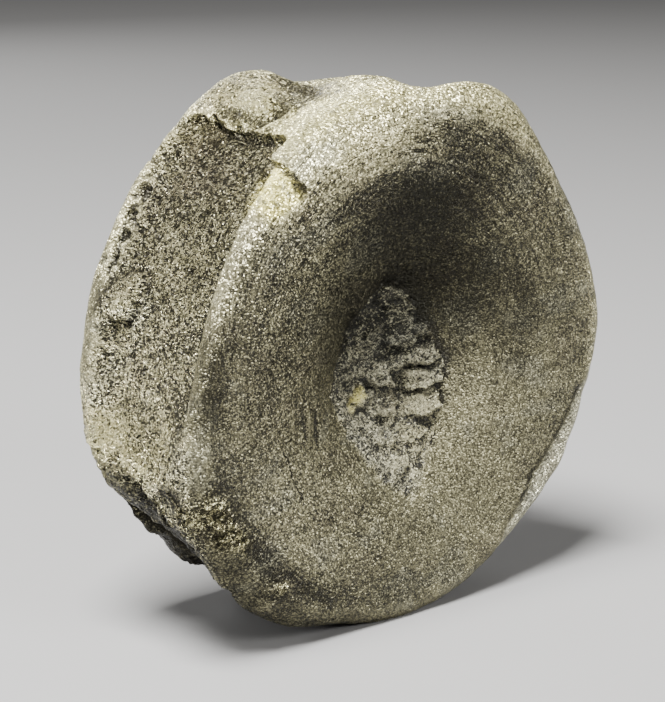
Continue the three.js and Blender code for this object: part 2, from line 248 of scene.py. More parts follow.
def rim_radius(angle, share, behind=0.0):
    """The outline's radius: share 0 at the near rim, 1 at the far one; no corner where behind is 1."""
    near, far = with_lobes(RIM_RADIUS, angle, NEAR_LOBES), with_lobes(RIM_RADIUS, angle, FAR_LOBES)
    return mix(near + with_lobes(0.0, angle, CORNER) * (1.0 - behind), far, ease(0.1, 0.9, share))


def roll(angle, rim):
    """How far a rim is rolled over: inwards, and along the axis."""
    inwards, lengthwise = rim["inwards"], rim["along"]
    for at, wide, square, more_inwards, more_along in rim["changes"]:
        bump = lobe(angle, at, wide, square)
        inwards = inwards + more_inwards * bump
        lengthwise = lengthwise + more_along * bump
    return inwards, lengthwise


print("near rim radius at 0, 90, 180, 270:", np.round(rim_radius(np.arange(0.0, 360.0, 90.0), 0.0), 1))

# %% [markdown]
# ## The dishes and the plug
#
# A dish is a cone that starts softly inside the rim, plus a bell-shaped pit in the middle. The near pit still
# holds a plug of the rock that filled it, broken off rough. Its outline is a leaf with straight upper edges.
# The plug is a list of chunks, each a rounded box with one edge tipped forwards, and the highest chunk wins
# at each point. Between and over them lie small random chips.

# %% Numbers of the dishes and the plug
NEAR_DISH = {"slope": 0.25, "lip": 0.80, "soft": 0.09, "pit": 4.2, "wide": 0.33, "x": 1.5, "z": 0.0}
FAR_DISH = {"slope": 0.22, "lip": 0.82, "soft": 0.08, "pit": 4.4, "wide": 0.34, "x": -1.0, "z": 0.8}
HOLLOW = {"x": 9.0, "z": 8.0, "wide": 8.0, "tall": 6.5, "deep": 1.5}  # above and right of the plug
PLUG = {"x": 1.3, "z": -5.0, "wide": 12.0, "up": 15.8, "down": 18.2, "level": 8.3}
# middle, half-width and half-height, turn, height, and how far the lower edge is tipped forwards
PLUG_CHUNKS = [
    (4.4, 7.6, 4.2, 2.0, -44, 1.2, -0.9), (9.2, 4.9, 2.3, 1.3, -24, 0.6, -0.6),
    (5.2, 3.4, 3.6, 1.6, -28, 0.6, -0.8), (10.6, 1.7, 2.2, 1.0, -12, 0.6, -0.5),
    (6.4, 0.4, 3.4, 1.3, -6, 0.7, -0.6), (0.9, 1.8, 2.2, 1.6, 20, 0.1, -0.5),
    (10.4, -2.4, 3.3, 1.6, 14, 1.1, 0.6), (5.6, -2.9, 1.7, 1.3, -18, 0.7, -0.4),
    (12.4, -4.3, 1.3, 0.9, -35, 0.7, 0.3), (9.4, -6.1, 3.1, 1.5, 3, 1.3, 0.8),
    (8.6, -9.9, 3.2, 1.8, 12, 1.2, 0.6), (1.6, -4.4, 2.9, 2.1, -14, 1.0, 0.5),
    (-2.7, -7.4, 2.2, 1.1, 34, 0.9, 0.4), (1.4, -8.8, 3.1, 2.3, -10, 0.6, 0.4),
    (-1.3, -12.6, 1.3, 2.5, 6, 0.45, 0.25), (2.0, -13.0, 1.3, 2.4, -5, 0.5, 0.25),
    (5.6, -13.6, 2.4, 1.9, 24, 0.25, 0.35), (-3.0, -16.6, 2.4, 1.0, -8, 0.2, 0.3),
    (2.0, -17.3, 2.0, 1.3, -6, 0.3, 0.3),
]
print(len(PLUG_CHUNKS), "chunks in the plug")


# %% Depth of a dish, and the broken plug
def dish_depth(q, dish):
    """Depth at q, the share of the way out.

    slope * radius * soft * ln(1 + e^((lip - q) / soft)) + pit * e^-(q / wide)^2, less its value on the rim.
    """
    def depth(share):
        cone = np.log1p(np.exp((dish["lip"] - share) / dish["soft"]))
        pit = np.exp(-((share / dish["wide"]) ** 2))
        return dish["slope"] * RIM_RADIUS * dish["soft"] * cone + dish["pit"] * pit
    return depth(q) - depth(1.0)


def inside_plug(x, z):
    """1 inside the leaf-shaped plug and 0 outside: |across|^p + |lengthwise|^p < 1, with a ragged edge."""
    upper = z > PLUG["z"]
    middle = PLUG["x"] + np.where(upper, 0.09, 0.07) * np.abs(z - PLUG["z"])
    across = (x - middle) / PLUG["wide"]
    lengthwise = np.abs(z - PLUG["z"]) / np.where(upper, PLUG["up"], PLUG["down"])
    power = np.where(upper, np.where(across < 0, 1.08, 1.4), 1.4)
    reach = (np.abs(across) ** power + lengthwise**power) ** (1 / power)
    ragged = 0.07 * ruggedness(flat(x * 0.25, z * 0.25), 5) + 0.07 * ruggedness(flat(x * 0.9, z * 0.9), 9)
    return ease(1.0, 0.94, reach + ragged)


def plug_height(x, z):
    """How far the plug stands out of its level: its highest chunk, roughened by small chips."""
    warp = [noise(flat(x * 0.45, z * 0.45, k), 21 + k) + 0.6 * ruggedness(flat(x * 1.1, z * 1.1, k), 23 + k)
            for k in (0, 4)]
    moss = ruggedness(flat(x * 0.8, z * 0.8), 27, 4)
    calm = ease(-10.0, -14.0, z)
    height = -0.2 + (0.6 - 0.3 * calm) * moss - 0.7 * ease(-2.0, 3.0, x) * (1.0 - calm)
    for middle_x, middle_z, wide, tall, turned, high_by, tip in PLUG_CHUNKS:
        c, s = np.cos(np.radians(turned)), np.sin(np.radians(turned))
        dx, dz = x + warp[0] - middle_x, z + 0.7 * warp[1] - middle_z
        u, w = (dx * c + dz * s) / wide, (dz * c - dx * s) / tall
        reach = (np.abs(u) ** 3 + np.abs(w) ** 3) ** (1 / 3)
        chunk = mix(-1.4, high_by - tip * w - 0.3 * u * u + 0.35 * moss, ease(1.15, 0.8, reach))
        height = np.maximum(height, chunk)
    shaken = np.stack([*warp, warp[0]], axis=-1)
    small = cells(flat(x / 1.5, z / 1.1, 3.0) + 0.35 * shaken, 60)
    tiny = cells(flat(x / 0.8, z / 0.65, 5.0) + 0.3 * shaken, 80)
    chips = 0.6 * (small[2] - 0.5) - 0.5 * small[3][..., 1]
    return height + (1.0 - 0.5 * calm) * chips + 0.3 * (tiny[2] - 0.5)


def face_point(angle, share, side):
    """A point of an end face: side -1 near or 1 far, share 0 in the middle and 1 on the rim's crest."""
    inwards, _ = roll(angle, NEAR_ROLL if side < 0 else FAR_ROLL)
    crest = rim_radius(angle, 0.0 if side < 0 else 1.0) - inwards
    x, z = (share * crest * f(np.radians(angle)) for f in (np.cos, np.sin))
    dish = NEAR_DISH if side < 0 else FAR_DISH
    centred = 1.0 - share**2
    q = np.hypot(x - dish["x"] * centred, z - dish["z"] * centred) / crest
    depth = dish_depth(q, dish)
    plug = np.zeros_like(depth)
    if side < 0:
        plug = inside_plug(x, z)
        floor = np.minimum(depth, PLUG["level"] + 0.8 * ease(0.0, 9.0, z))
        depth = mix(depth, floor - plug_height(x, z), plug)
        off = ((x - HOLLOW["x"]) / HOLLOW["wide"]) ** 2 + ((z - HOLLOW["z"]) / HOLLOW["tall"]) ** 2
        depth = depth + HOLLOW["deep"] * np.exp(-off) * (1.0 - plug)
    seed, layer = (3, 0.0) if side < 0 else (4, 5.0)
    depth = depth + 0.5 * ruggedness(flat(x * 0.06, z * 0.06, layer), seed) * ease(1.0, 0.8, share)
    return np.stack([x, side * (HALF - depth), z], axis=-1), plug


for side, dish in ((-1, NEAR_DISH), (1, FAR_DISH)):
    print("dish", side, "is", round(float(dish_depth(0.0, dish)), 1), "mm deep without its plug")

# %% [markdown]
# ## The wall
#
# The wall is a drum with a waist, and its relief is a sum of named pieces. The trough is a hollow with four
# edges, each an `ease`: under the ledge, above the foot, behind the near lip and before the far rim. The
# ledge is pushed out over the trough by leaning the points above it forwards, so it casts a real shadow.
# Knobs and hollows are bell shapes given by angle, place along the axis, height and half-widths. Four knobs
# have worn swirls on them, a dome with furrows and a hollow round it. The foot of the trough is a ridge: a
# long rise, then a sudden drop.

# %% Lists of the wall's forms
WAIST = 2.6
LEDGE_ANGLE = 116.6
FOOT_ANGLE = 190.0
TROUGH = {"start": -11.6, "end": 13.8, "depth": 2.0, "slant": 0.8}
PIT_DEPTH = 1.8
PLATE_RADIUS = 44.5
CREVICE_DEPTH = 1.3

# place along Y and angle of each corner of the ledge's edge, and of the foot ridge's crest
LEDGE_LINE = [(-13, 121.5), (-10.9, 119.6), (-8, 117.0), (-4.5, 116.2), (0.2, 116.3), (2.7, 116.8),
              (4.2, 118.4), (5.4, 117.0), (8.2, 116.6), (9.8, 117.6), (12, 119.8)]
FOOT_LINE = [(-13.4, 197.3), (-11.6, 197.7), (-8.8, 198.1), (-5.5, 198.3), (-2.2, 196.8), (-0.1, 195.3),
             (2.9, 194.2), (6.4, 194.2), (12, 194.0)]
# angle and place along Y of the crevice behind the near rim's lower corner
CREVICE_LINE = [(196, 4.0), (198, 3.0), (200.3, -0.4), (202.8, -2.4), (205, -4.3), (207.5, -6.9),
                (209.2, -9.0), (211.2, -10.5), (215, -11.0), (240, -10.5), (262, -9.0)]
GROOVE_LINE = [(3, 228), (6.5, 225.5), (8.6, 220.5), (11.1, 215.6), (12.4, 211), (13.5, 204)]

# angle, place along Y, height, half-width round, half-width along, how flat-topped
WALL_LUMPS = [
    (105, 10.5, 1.3, 7.5, 7.0, 1.5),  # knob of the rib joint
    (109.0, 3.0, 1.0, 3.6, 4.8, 1.5),  # its dome
    (86.5, -2.5, 1.2, 5.5, 5.5, 1.3),  # swelling on top of the disc
    (91.5, 9.5, -1.5, 4.0, 5.0, 1.2),  # saddle behind it
    (80, -9.0, -0.6, 4.0, 3.5, 1.0),
    (61, -8.0, 1.0, 7.0, 6.0, 1.0),  # shoulder above the near rim's corner
    (98, 2.0, -1.4, 4.0, 7.0, 1.0),  # saddle between the knob and the swelling
    (163.5, 6.3, 1.4, 4.0, 3.6, 1.4),  # lower knob in the trough
    (171.5, 8.5, 0.9, 4.0, 3.0, 1.0),
    (181, 9.5, 0.8, 3.5, 2.5, 1.0),
    (233, 9.2, 1.6, 3.5, 2.6, 1.4),  # underside, behind the near rim
    (229, 4.0, 0.9, 2.6, 3.0, 1.2),
    (243, 1.0, 1.4, 4.0, 4.0, 1.3),
    (251, 6.0, 1.1, 3.0, 3.0, 1.2),
    (202.0, 7.0, 2.9, 6.5, 4.5, 1.4),  # slab behind the crevice
    (222, 11.0, 0.4, 2.0, 1.4, 1.0),
    (215.5, 3.5, 0.8, 1.5, 1.5, 1.0),  # warts beside the groove
    (219, 0.6, 0.6, 1.3, 1.4, 1.0),
    (225.5, 5.5, 0.8, 1.3, 1.5, 1.0),
    (58, 6.0, 1.7, 5.5, 5.0, 1.4),  # the other side's rib knobs, lower and more worn
    (24, 3.5, 1.4, 4.5, 4.8, 1.4),
    (41, 5.0, -1.3, 4.0, 6.0, 1.2),
    (5, 4.0, -0.9, 7.0, 5.0, 1.2),
    (338, -2.0, 0.7, 7.0, 5.0, 1.2),
    (312, 4.0, -0.7, 7.0, 6.0, 1.2),
]
# angle, place along Y, turn, half-length, half-width and height of the worn swirls on the knobs
SWIRLS = [(112.8, 2.2, 20, 4.5, 3.2, 2.0), (163.2, 6.6, 75, 5.2, 3.0, 1.3), (57.5, 5.5, -40, 4.6, 3.2, 0.5),
          (24.5, 3.5, 20, 4.6, 3.4, 0.3)]
# angle, place along Y, half-sizes round and along
PITS = [
    (127.0, 11.6, 0.7, 0.9), (129.7, 11.9, 0.9, 1.0), (132.4, 12.6, 0.6, 0.8), (134.9, 11.0, 0.8, 1.1),
    (132.3, 9.3, 0.6, 0.8), (140.2, 10.9, 1.3, 0.9), (145.4, 11.1, 1.2, 1.1), (151.2, 10.8, 1.5, 0.8),
    (154.6, 10.5, 1.2, 0.7), (157.9, 10.6, 0.9, 0.6), (137.4, 8.8, 0.5, 0.6), (148.2, 8.9, 0.6, 0.6),
    (117.7, 7.7, 0.5, 0.6), (14.0, -2.0, 0.6, 1.2), (350.0, 3.5, 0.5, 0.9), (331.0, -4.0, 1.1, 0.5),
    (47.0, -3.0, 0.5, 0.7), (286.0, 1.0, 1.2, 0.6), (262.0, -1.5, 0.8, 0.5), (35.0, -6.5, 0.4, 0.6),
    (318.0, 6.5, 0.5, 0.9),
]
print(len(WALL_LUMPS), "lumps and saddles,", len(SWIRLS), "swirls,", len(PITS), "pits")


# %% The waist, and the trough under its ledge
def line_at(line, place):
    """A drawn line's second number at each value of its first."""
    places, values = zip(*line)
    return np.interp(place, places, values)


def drum(angle, y):
    """The place of a point on a plain drum, where noise has no seam."""
    a = np.radians(angle)
    return np.stack([np.cos(a) * RIM_RADIUS, y, np.sin(a) * RIM_RADIUS], axis=-1)


def wobble(angle, y):
    """Slow noise on the wall, with features of about 3 mm."""
    return ruggedness(drum(angle, y) * 0.3, 51)


def wander(angle, y):
    """Quick noise on the wall, with features of about 1 mm."""
    return ruggedness(drum(angle, y) * 0.8, 55)


def ledge_angle(y):
    """The trough's top edge: its drawn corners, with small random bites."""
    bites = 0.55 * noise(flat(y * 0.9, 0.0 * y), 31) + 0.3 * noise(flat(y * 2.1, 0.0 * y), 32)
    return line_at(LEDGE_LINE, y) + bites


def inside_trough(angle, y):
    """1 on the trough's floor and 0 outside it: the product of its four edges."""
    under = ease(0.0, 1.4, angle - ledge_angle(y))
    above = 1.0 - ease(FOOT_ANGLE - 14.0, FOOT_ANGLE + 12.0, angle)
    behind = ease(0.0, 1.5, y - TROUGH["start"] - 3.0 * lobe(angle, 200, 9) - 1.0 * lobe(angle, 127, 6))
    edge = TROUGH["end"] - 3.2 * ease(125.0, 150.0, angle) + 0.5 * noise(flat(angle * 0.35, 0.0 * y), 33)
    return under * above * behind * (1.0 - ease(edge - 3.5, edge, y))


def trough_depth(angle, y, trough):
    """The trough's depth: a little less just under the ledge, and more towards the near rim."""
    under = lobe(angle, 121.0 + 1.5 * wobble(angle, y), 5.0)
    return TROUGH["depth"] * trough * (1.0 - 0.15 * under) + TROUGH["slant"] * trough * ease(2.0, -12.0, y)


def waist_depth(angle, y):
    """How far the plain wall is drawn in: most halfway between the rims, hardly at the top."""
    between = np.clip(1.0 - (y / 13.0) ** 2, 0.0, 1.0) ** 1.5
    full = (1.0 - 0.95 * lobe(angle, 90, 16)) * (1.0 - 0.8 * lobe(angle, 225, 14))
    return WAIST * between * full * (1.0 - 0.75 * lobe(angle, 155, 30, 4))


print("ledge's angle halfway along:", round(float(ledge_angle(np.array([0.0]))[0]), 1))

# %% [markdown]
# Knobs and hollows are bells. A swirl is a worn blister: the bone's thin skin has gone from the top of a knob
# and left furrows inside a low ring. The pits stand in a string beside the far rim, with a net of thin bone
# walls between them. A clean bell would look drilled, so the angles and places that go in are shaken by noise
# first.

# %% Knobs, swirls and pits
def swelling(angle, y, at, middle, round_by, along_by, square=1.0):
    """A bell on the wall: exp(-reach ** (2 * square)), flat-topped where square is above 1."""
    reach = np.hypot(turn(at, angle) * ARC / round_by, (y - middle) / along_by)
    return np.exp(-(reach ** (2.0 * square)))


def bell(value, middle, wide):
    """A bump of height 1: exp(-((value - middle) / wide) ** 2)."""
    return np.exp(-(((value - middle) / wide) ** 2))


def swirl_relief(angle, y, at, middle, turned, long_by, wide_by, high_by):
    """A worn blister: a steep dome, furrows in its lower side, a crescent hollow round it and a low lip."""
    c, s = np.cos(np.radians(turned)), np.sin(np.radians(turned))
    round_way, along_way = turn(at, angle) * ARC, y - middle
    u = (along_way * c + round_way * s) / long_by
    w = (round_way * c - along_way * s) / wide_by
    reach = np.hypot(u, w)
    lower = ease(-0.9, 0.5, 0.8 * w - 0.5 * u)
    dome = np.exp(-((reach / 0.85) ** 5))
    furrows = bell(reach, 0.62, 0.09) * ease(-0.3, 0.3, 0.6 * w - 0.7 * u)
    furrows = furrows + 0.7 * bell(w, 0.2, 0.08) * ease(0.6, 0.4, np.abs(u))
    crescent, lip = bell(reach, 1.0, 0.13), bell(reach, 1.28, 0.13)
    return high_by * (dome - 0.17 * furrows + lower * (0.2 * lip - 0.3 * crescent))


def swirls(angle, y):
    """The relief of every swirl."""
    shaken_angle, shaken_y = angle + 0.8 * wobble(angle, y), y + 0.6 * wander(angle, y)
    return sum(swirl_relief(shaken_angle, shaken_y, *swirl) for swirl in SWIRLS)


def pits(angle, y):
    """How deep a point lies in a pit: the root of the pit's smaller half-size, times a ragged bell."""
    place = drum(angle, y) * 0.9
    shaken_angle, shaken_y = angle + 1.5 * ruggedness(place, 55), y + 0.9 * ruggedness(place, 51)
    return sum(min(pit[2:]) ** 0.5 * swelling(shaken_angle, shaken_y, *pit, 1.2) for pit in PITS)


def thin_walls(angle, y):
    """A net of thin walls with sunken gaps, in a band beside the far rim."""
    band = ease(124.0, 128.0, angle) * ease(166.0, 156.0, angle) * ease(6.5, 9.0, y) * ease(13.8, 12.6, y)
    quick = wander(angle, y)
    gaps = cells(drum(angle, y) / np.array([2.1, 1.5, 2.1]) + 0.35 * quick[..., None], 90)
    return band * (0.5 * quick - 0.55 * (gaps[2] > 0.45) * ease(0.1, 0.5, gaps[1] - gaps[0]))


half_sizes = [min(pit[2:]) for pit in PITS]
print("smaller half-sizes of the pits, mm:", min(half_sizes), "to", max(half_sizes))

# %% [markdown]
# Below the trough the wall is cut by lines, not dotted with bells: a ridge, a crevice and a groove. Each is
# worked out from how far a point is past its line, so the same line can carry a slope and a drop.

# %% The ridge at the foot, the crevice and the groove
def past_foot(angle, y):
    """How far a point is past the foot ridge's jagged crest, in millimetres along the wall."""
    jagged = 0.5 * wander(angle, y) + 0.4 * wobble(angle, y)
    return turn(line_at(FOOT_LINE, y), angle) * ARC + jagged


def past_crevice(angle, y):
    """How far a point is behind the crevice's jagged line, in millimetres along Y."""
    return y + 0.7 * ruggedness(flat(angle * 0.5, y * 0.5), 95) - line_at(CREVICE_LINE, angle)


def crest(away, rise, fall):
    """A sharp ridge: (1 + away / rise)^2 before its line and (1 - away / fall)^1.5 past it."""
    before = np.clip(1.0 + away / rise, 0.0, 1.0) ** 2
    return np.where(away < 0, before, np.clip(1.0 - away / fall, 0.0, 1.0) ** 1.5)


def foot_ridge(angle, y):
    """The ridge at the trough's foot, with a small one before it; both end at the rims."""
    foot = past_foot(angle, y)
    ridges = 1.9 * crest(foot, 10.0, 6.0) + 0.3 * crest(foot + 1.7, 1.5, 0.5)
    return ridges * ease(14.5, 9.0, np.abs(y))


def groove_depth(angle, y):
    """The groove behind the slab below the foot ridge."""
    off = turn(line_at(GROOVE_LINE, y), angle) * ARC + 0.7 * wobble(angle, y)
    return 2.8 * bell(off, 0.0, 2.1) * ease(2.0, 6.5, y)


print("ridge at the foot, mm:", round(float(foot_ridge(np.array([196.0]), np.array([0.0]))[0]), 2))

# %% [markdown]
# Now the forms are added up. `wall_relief` is the height over the plain drum, and `wall_point` puts it on the
# outline, rolls both rims over and leans the ledge out over the trough.

# %% The wall's relief, and its points
ROLL_SHARE = 0.17  # share of the wall's grid that goes to each rolled rim


def wall_relief(angle, y):
    """Height over the smooth drum, and the trough's mask."""
    slow, quick = wobble(angle, y), wander(angle, y)
    height = -waist_depth(angle, y)
    shaken_angle, shaken_y = angle + 1.2 * slow, y + 0.8 * quick
    for at, middle, high_by, *sizes in WALL_LUMPS:
        height += high_by * swelling(shaken_angle, shaken_y, at, middle, *sizes)
    height += swirls(angle, y)
    trough = inside_trough(angle, y)
    height -= trough_depth(angle, y, trough)
    height += thin_walls(angle, y)
    height -= PIT_DEPTH * pits(angle, y)
    height += foot_ridge(angle, y)
    height -= groove_depth(angle, y)
    below = lobe(angle, 226, 20, 4) * ease(-11.0, -4.0, y)
    return height + below * (0.55 * slow + 0.45 * quick), trough


def rolled_rims(angle, share):
    """Place along Y, how far the rolled rims draw the radius in, and how much relief is kept there."""
    near_in, near_along = roll(angle, NEAR_ROLL)
    far_in, far_along = roll(angle, FAR_ROLL)
    near_turn = np.clip(share / ROLL_SHARE, 0.0, 1.0) * np.pi / 2
    far_turn = np.clip((1.0 - share) / ROLL_SHARE, 0.0, 1.0) * np.pi / 2
    between = np.clip((share - ROLL_SHARE) / (1.0 - 2.0 * ROLL_SHARE), 0.0, 1.0)
    y = mix(-HALF + near_along, HALF - far_along, between)
    y = y - near_along * np.cos(near_turn) + far_along * np.cos(far_turn)
    drawn_in = near_in * (1.0 - np.sin(near_turn)) + far_in * (1.0 - np.sin(far_turn))
    return y, drawn_in, np.sin(near_turn) * np.sin(far_turn)


def with_corner(radius, angle, y, behind):
    """The radius with the thick plate of the near rim's lower corner, and the crevice cut behind it."""
    foot = past_foot(angle, y)
    plate = ease(0.1, 1.0, foot) * ease(22.0, 14.0, foot) * (1.0 - behind) * ease(-12.8, -9.5, y)
    stepped = PLATE_RADIUS - 1.5 * ease(7.0, 0.5, foot) + 0.5 * ruggedness(drum(angle, y) * 0.35, 97, 4)
    radius = mix(radius, stepped, 0.9 * plate)
    return radius - CREVICE_DEPTH * bell(past_crevice(angle, y), 1.3, 0.7) * lobe(angle, 218, 20, 6)


def wall_point(even, share):
    """A point of the wall: share 0 on the near crest, 1 on the far one. The grid bends with the ledge."""
    follow = lobe(even, LEDGE_ANGLE, 9) * ease(0.0, 0.15, share) * ease(1.0, 0.85, share)
    angle = even + follow * (ledge_angle((share - 0.5) * THICKNESS) - LEDGE_ANGLE)
    y, drawn_in, kept = rolled_rims(angle, share)
    relief, trough = wall_relief(angle, y)
    behind = ease(-0.2, 1.0, past_crevice(angle, y))
    radius = rim_radius(angle, (y + HALF) / THICKNESS, behind) - drawn_in + kept * relief
    radius = with_corner(radius, angle, y, behind)
    lean = 1.9 * lobe(angle, ledge_angle(y) - 0.5, 1.3) * ease(-11.0, -8.0, y) * ease(14.0, 11.0, y)
    leaning = np.radians(angle + lean * kept)
    return np.stack([radius * np.cos(leaning), y, radius * np.sin(leaning)], axis=-1), trough * kept


print("wall's middle at 0 degrees, mm:", np.round(wall_point(np.array([0.0]), np.array([0.5]))[0][0], 1))

# %% [markdown]
# ## One closed skin
#
# A disc made of rings and spokes pinches at its middle, and pinched faces shade badly. So each end face is a
# square grid bent into a disc: ring by ring, the square's rings become circles. The four sides of the square
# meet the wall's own grid point for point, so the skin closes with no seam. The far face is out of sight in
# most views and has no plug, so it gets half as many cells, and a ring of triangles joins the two spacings.

# %% A square grid bent into a disc
FACE_CELLS = 168
WALL_ROWS = 88
DENSE_AT = 140.0  # the spokes are closer round this angle, where the relief is finest
DENSE_BY = 0.35
DENSE_PIT = 0.28  # the rings are closer in the middle
LEDGE_PULL = 0.55  # how far the spokes near the ledge are drawn to it
LEDGE_REACH = 7.0
FAR_EDGE = 0.99  # share of the way out of the far face's last ring


def square_disc(count):
    """Angle and share of each point of a square grid bent into a disc, keeping its rings."""
    line = np.linspace(-1.0, 1.0, count + 1)
    a, b = np.meshgrid(line, line, indexing="ij")
    wide = np.abs(a) >= np.abs(b)
    share = np.where(wide, np.abs(a), np.abs(b))
    quarter = np.where(wide, 45.0 * b / np.where(a == 0, 1.0, a), 90.0 - 45.0 * a / np.where(b == 0, 1.0, b))
    even = quarter + 180.0 * (np.where(wide, a, b) < 0)
    drawn = even - np.degrees(DENSE_BY * np.sin(np.radians(even - DENSE_AT)))
    off_ledge = turn(LEDGE_ANGLE, drawn)
    drawn = drawn - LEDGE_PULL * off_ledge * np.exp(-((off_ledge / LEDGE_REACH) ** 2))
    return drawn % 360.0, share * (1.0 - DENSE_PIT + DENSE_PIT * share)


def square_loop(count):
    """The numbers of the grid's edge points, once round, counter-clockwise from the corner at -45 degrees."""
    grid = np.arange((count + 1) ** 2).reshape(count + 1, count + 1)
    return np.concatenate([grid[-1, :-1], grid[:0:-1, -1], grid[0, :0:-1], grid[:-1, 0]])


def square_faces(count):
    """The grid's quads, turned to face -Y."""
    grid = np.arange((count + 1) ** 2).reshape(count + 1, count + 1)
    return np.stack([grid[:-1, :-1], grid[1:, :-1], grid[1:, 1:], grid[:-1, 1:]], axis=-1).reshape(-1, 4)


far_cells = FACE_CELLS // 2
near_angle, near_share = square_disc(FACE_CELLS)
far_angle, far_share = square_disc(far_cells)
near_points, near_plug = face_point(near_angle.ravel(), near_share.ravel(), -1)
far_points, _ = face_point(far_angle.ravel(), far_share.ravel() * FAR_EDGE, 1)
rim_loop = square_loop(FACE_CELLS)
shares = np.linspace(0.0, 1.0, WALL_ROWS + 1)[1:]
wall_points, wall_trough = wall_point(near_angle.ravel()[rim_loop][:, None], shares[None, :])
print(len(near_points), "points in the near face,", len(far_points), "in the far one")

# %% The grids joined: near face, wall, and a coarser far face
columns = len(rim_loop)
wall_start = len(near_points)
far_start = wall_start + columns * WALL_ROWS
own_rows = wall_start + np.arange(columns * WALL_ROWS).reshape(columns, -1)
ring = np.concatenate([rim_loop[:, None], own_rows], axis=1)
ahead = np.roll(ring, -1, axis=0)
wall_faces = np.stack([ring[:, :-1], ring[:, 1:], ahead[:, 1:], ahead[:, :-1]], axis=-1).reshape(-1, 4)
inner = far_start + square_loop(far_cells)
inner_ahead = np.roll(inner, -1)
outer = ring[:, -1]
even_outer, odd_outer, next_outer = outer[0::2], outer[1::2], np.roll(outer, -2)[0::2]
joining = np.concatenate([
    np.stack([even_outer, inner, odd_outer], axis=-1),
    np.stack([odd_outer, inner, inner_ahead], axis=-1),
    np.stack([odd_outer, inner_ahead, next_outer], axis=-1),
])
skin = np.concatenate([near_points, wall_points.reshape(-1, 3), far_points])
quads = np.concatenate([square_faces(FACE_CELLS), wall_faces, far_start + square_faces(far_cells)[:, ::-1]])
plug_mask = np.concatenate([near_plug, np.zeros(len(skin) - len(near_plug))])
trough_mask = np.zeros(len(skin))
trough_mask[wall_start:far_start] = wall_trough.ravel()
print(len(skin), "points,", 2 * len(quads) + len(joining), "triangles")

# %% [markdown]
# ## Damage that crosses from one surface to another
#
# Some features sit on the rolled edge, half on the face and half on the wall, so an angle and a height can't
# give them. They are worked out in space instead: every point of the skin within reach moves along its own
# normal. `CRUMBS` are clusters of broken bits, `DENTS` are single lumps and hollows, the chip is a step
# across the near lip below which the outer skin has flaked off and left a paler layer, and the strip is a
# narrow break along the near rim's lower right edge. Places are measured from the middle of the disc.

# %% Where the skin is broken
# middle of each cluster, and its reach
CRUMBS = [((-36.8, -13.5, -17.0), 2.6), ((-34.6, -13.6, -20.6), 2.6), ((-38.6, -11.0, -18.0), 2.2),
          ((-32.0, -13.9, -22.6), 1.6), ((-25.0, -13.6, -31.3), 1.4), ((-33.5, -9.8, -29.0), 2.4),
          ((-37.5, -5.0, -19.5), 3.0), ((-33.5, -2.0, -25.5), 3.0), ((-39.6, -8.5, -13.4), 1.8)]
# place, reach, height
DENTS = [
    ((-25.0, -13.9, -31.0), (2.4, 2.0, 1.0), 0.5), ((-27.2, -13.4, -34.0), 1.6, 0.5),
    ((-31.6, -11.6, -30.6), 1.5, -0.6), ((-21.0, -11.9, -6.6), (0.5, 2.0, 1.9), 0.3),
    ((-17.2, -11.1, -7.2), (0.6, 2.0, 2.6), 0.5), ((-18.6, -11.4, -4.0), (0.5, 2.0, 0.9), 0.25),
    ((-15.0, -10.4, -9.6), (0.6, 2.0, 3.2), -0.3), ((-22.3, -14.5, 31.3), 0.9, 0.3),
    ((-40.5, -13.0, 8.0), 2.5, -0.35), ((-41.0, -12.6, -3.0), 2.0, 0.3), ((38.5, -13.6, -12.0), 2.2, -0.4),
    ((34.0, -13.5, -22.5), 2.5, 0.3), ((40.0, -13.2, 4.0), 1.6, -0.3),
]
CHIP = {"x": -22.1, "z": 31.1, "across": (0.60, -0.80), "depth": 1.1, "length": 11.0}
STRIP_DEPTH = 0.3
# angle and inner radius of the broken strip
STRIP_LINE = [(296, 41.5), (304, 38.5), (309, 37.7), (314, 37.4), (320, 36.6), (327, 37.3), (333, 38.2),
              (340, 38.9), (346, 40.3), (352, 41.6)]


def polar(points):
    """Angle round the disc's axis, and distance from it, of points measured from the axis."""
    angle = np.degrees(np.arctan2(points[:, 2], points[:, 0])) % 360.0
    return angle, np.hypot(points[:, 0], points[:, 2])


def near(points, place, reach):
    """A soft ball, or an egg where reach is three numbers: exp(-(distance / reach) ** 3)."""
    return np.exp(-(np.linalg.norm((points - np.array(place)) / reach, axis=1) ** 3))


def patches(points, listed):
    """The sum of a list of soft balls, each with a place, a reach and a height."""
    return sum(height * near(points, place, reach) for place, reach, height in listed)


def chip_share(points):
    """1 where the lip's skin has flaked off: past the broken step, and fading out down the lip."""
    across = CHIP["across"]
    dx, dz = points[:, 0] - CHIP["x"], points[:, 2] - CHIP["z"]
    jag = 0.7 * ruggedness(points * 0.7, 61) + 0.4 * ruggedness(points * 1.9, 64)
    down = dx * across[1] - dz * across[0] + jag
    inward = dx * across[0] + dz * across[1] + 0.9 * ruggedness(points * 0.25, 67)
    held = ease(-5.5, -3.5, inward) * ease(4.6, 2.4, inward) * ease(-6.0, -8.0, points[:, 1])
    return ease(0.0, 0.45, down) * ease(CHIP["length"], 2.0, down) * held


def strip_share(points):
    """1 where the near rim's edge has broken away in a narrow strip."""
    angle, out_by = polar(points)
    past = out_by - line_at(STRIP_LINE, angle) + 0.35 * ruggedness(points * 0.8, 83)
    ends = ease(292.0, 298.0, angle) * ease(356.0, 350.0, angle)
    return ease(-0.15, 0.3, past) * ease(-9.5, -12.0, points[:, 1]) * ends


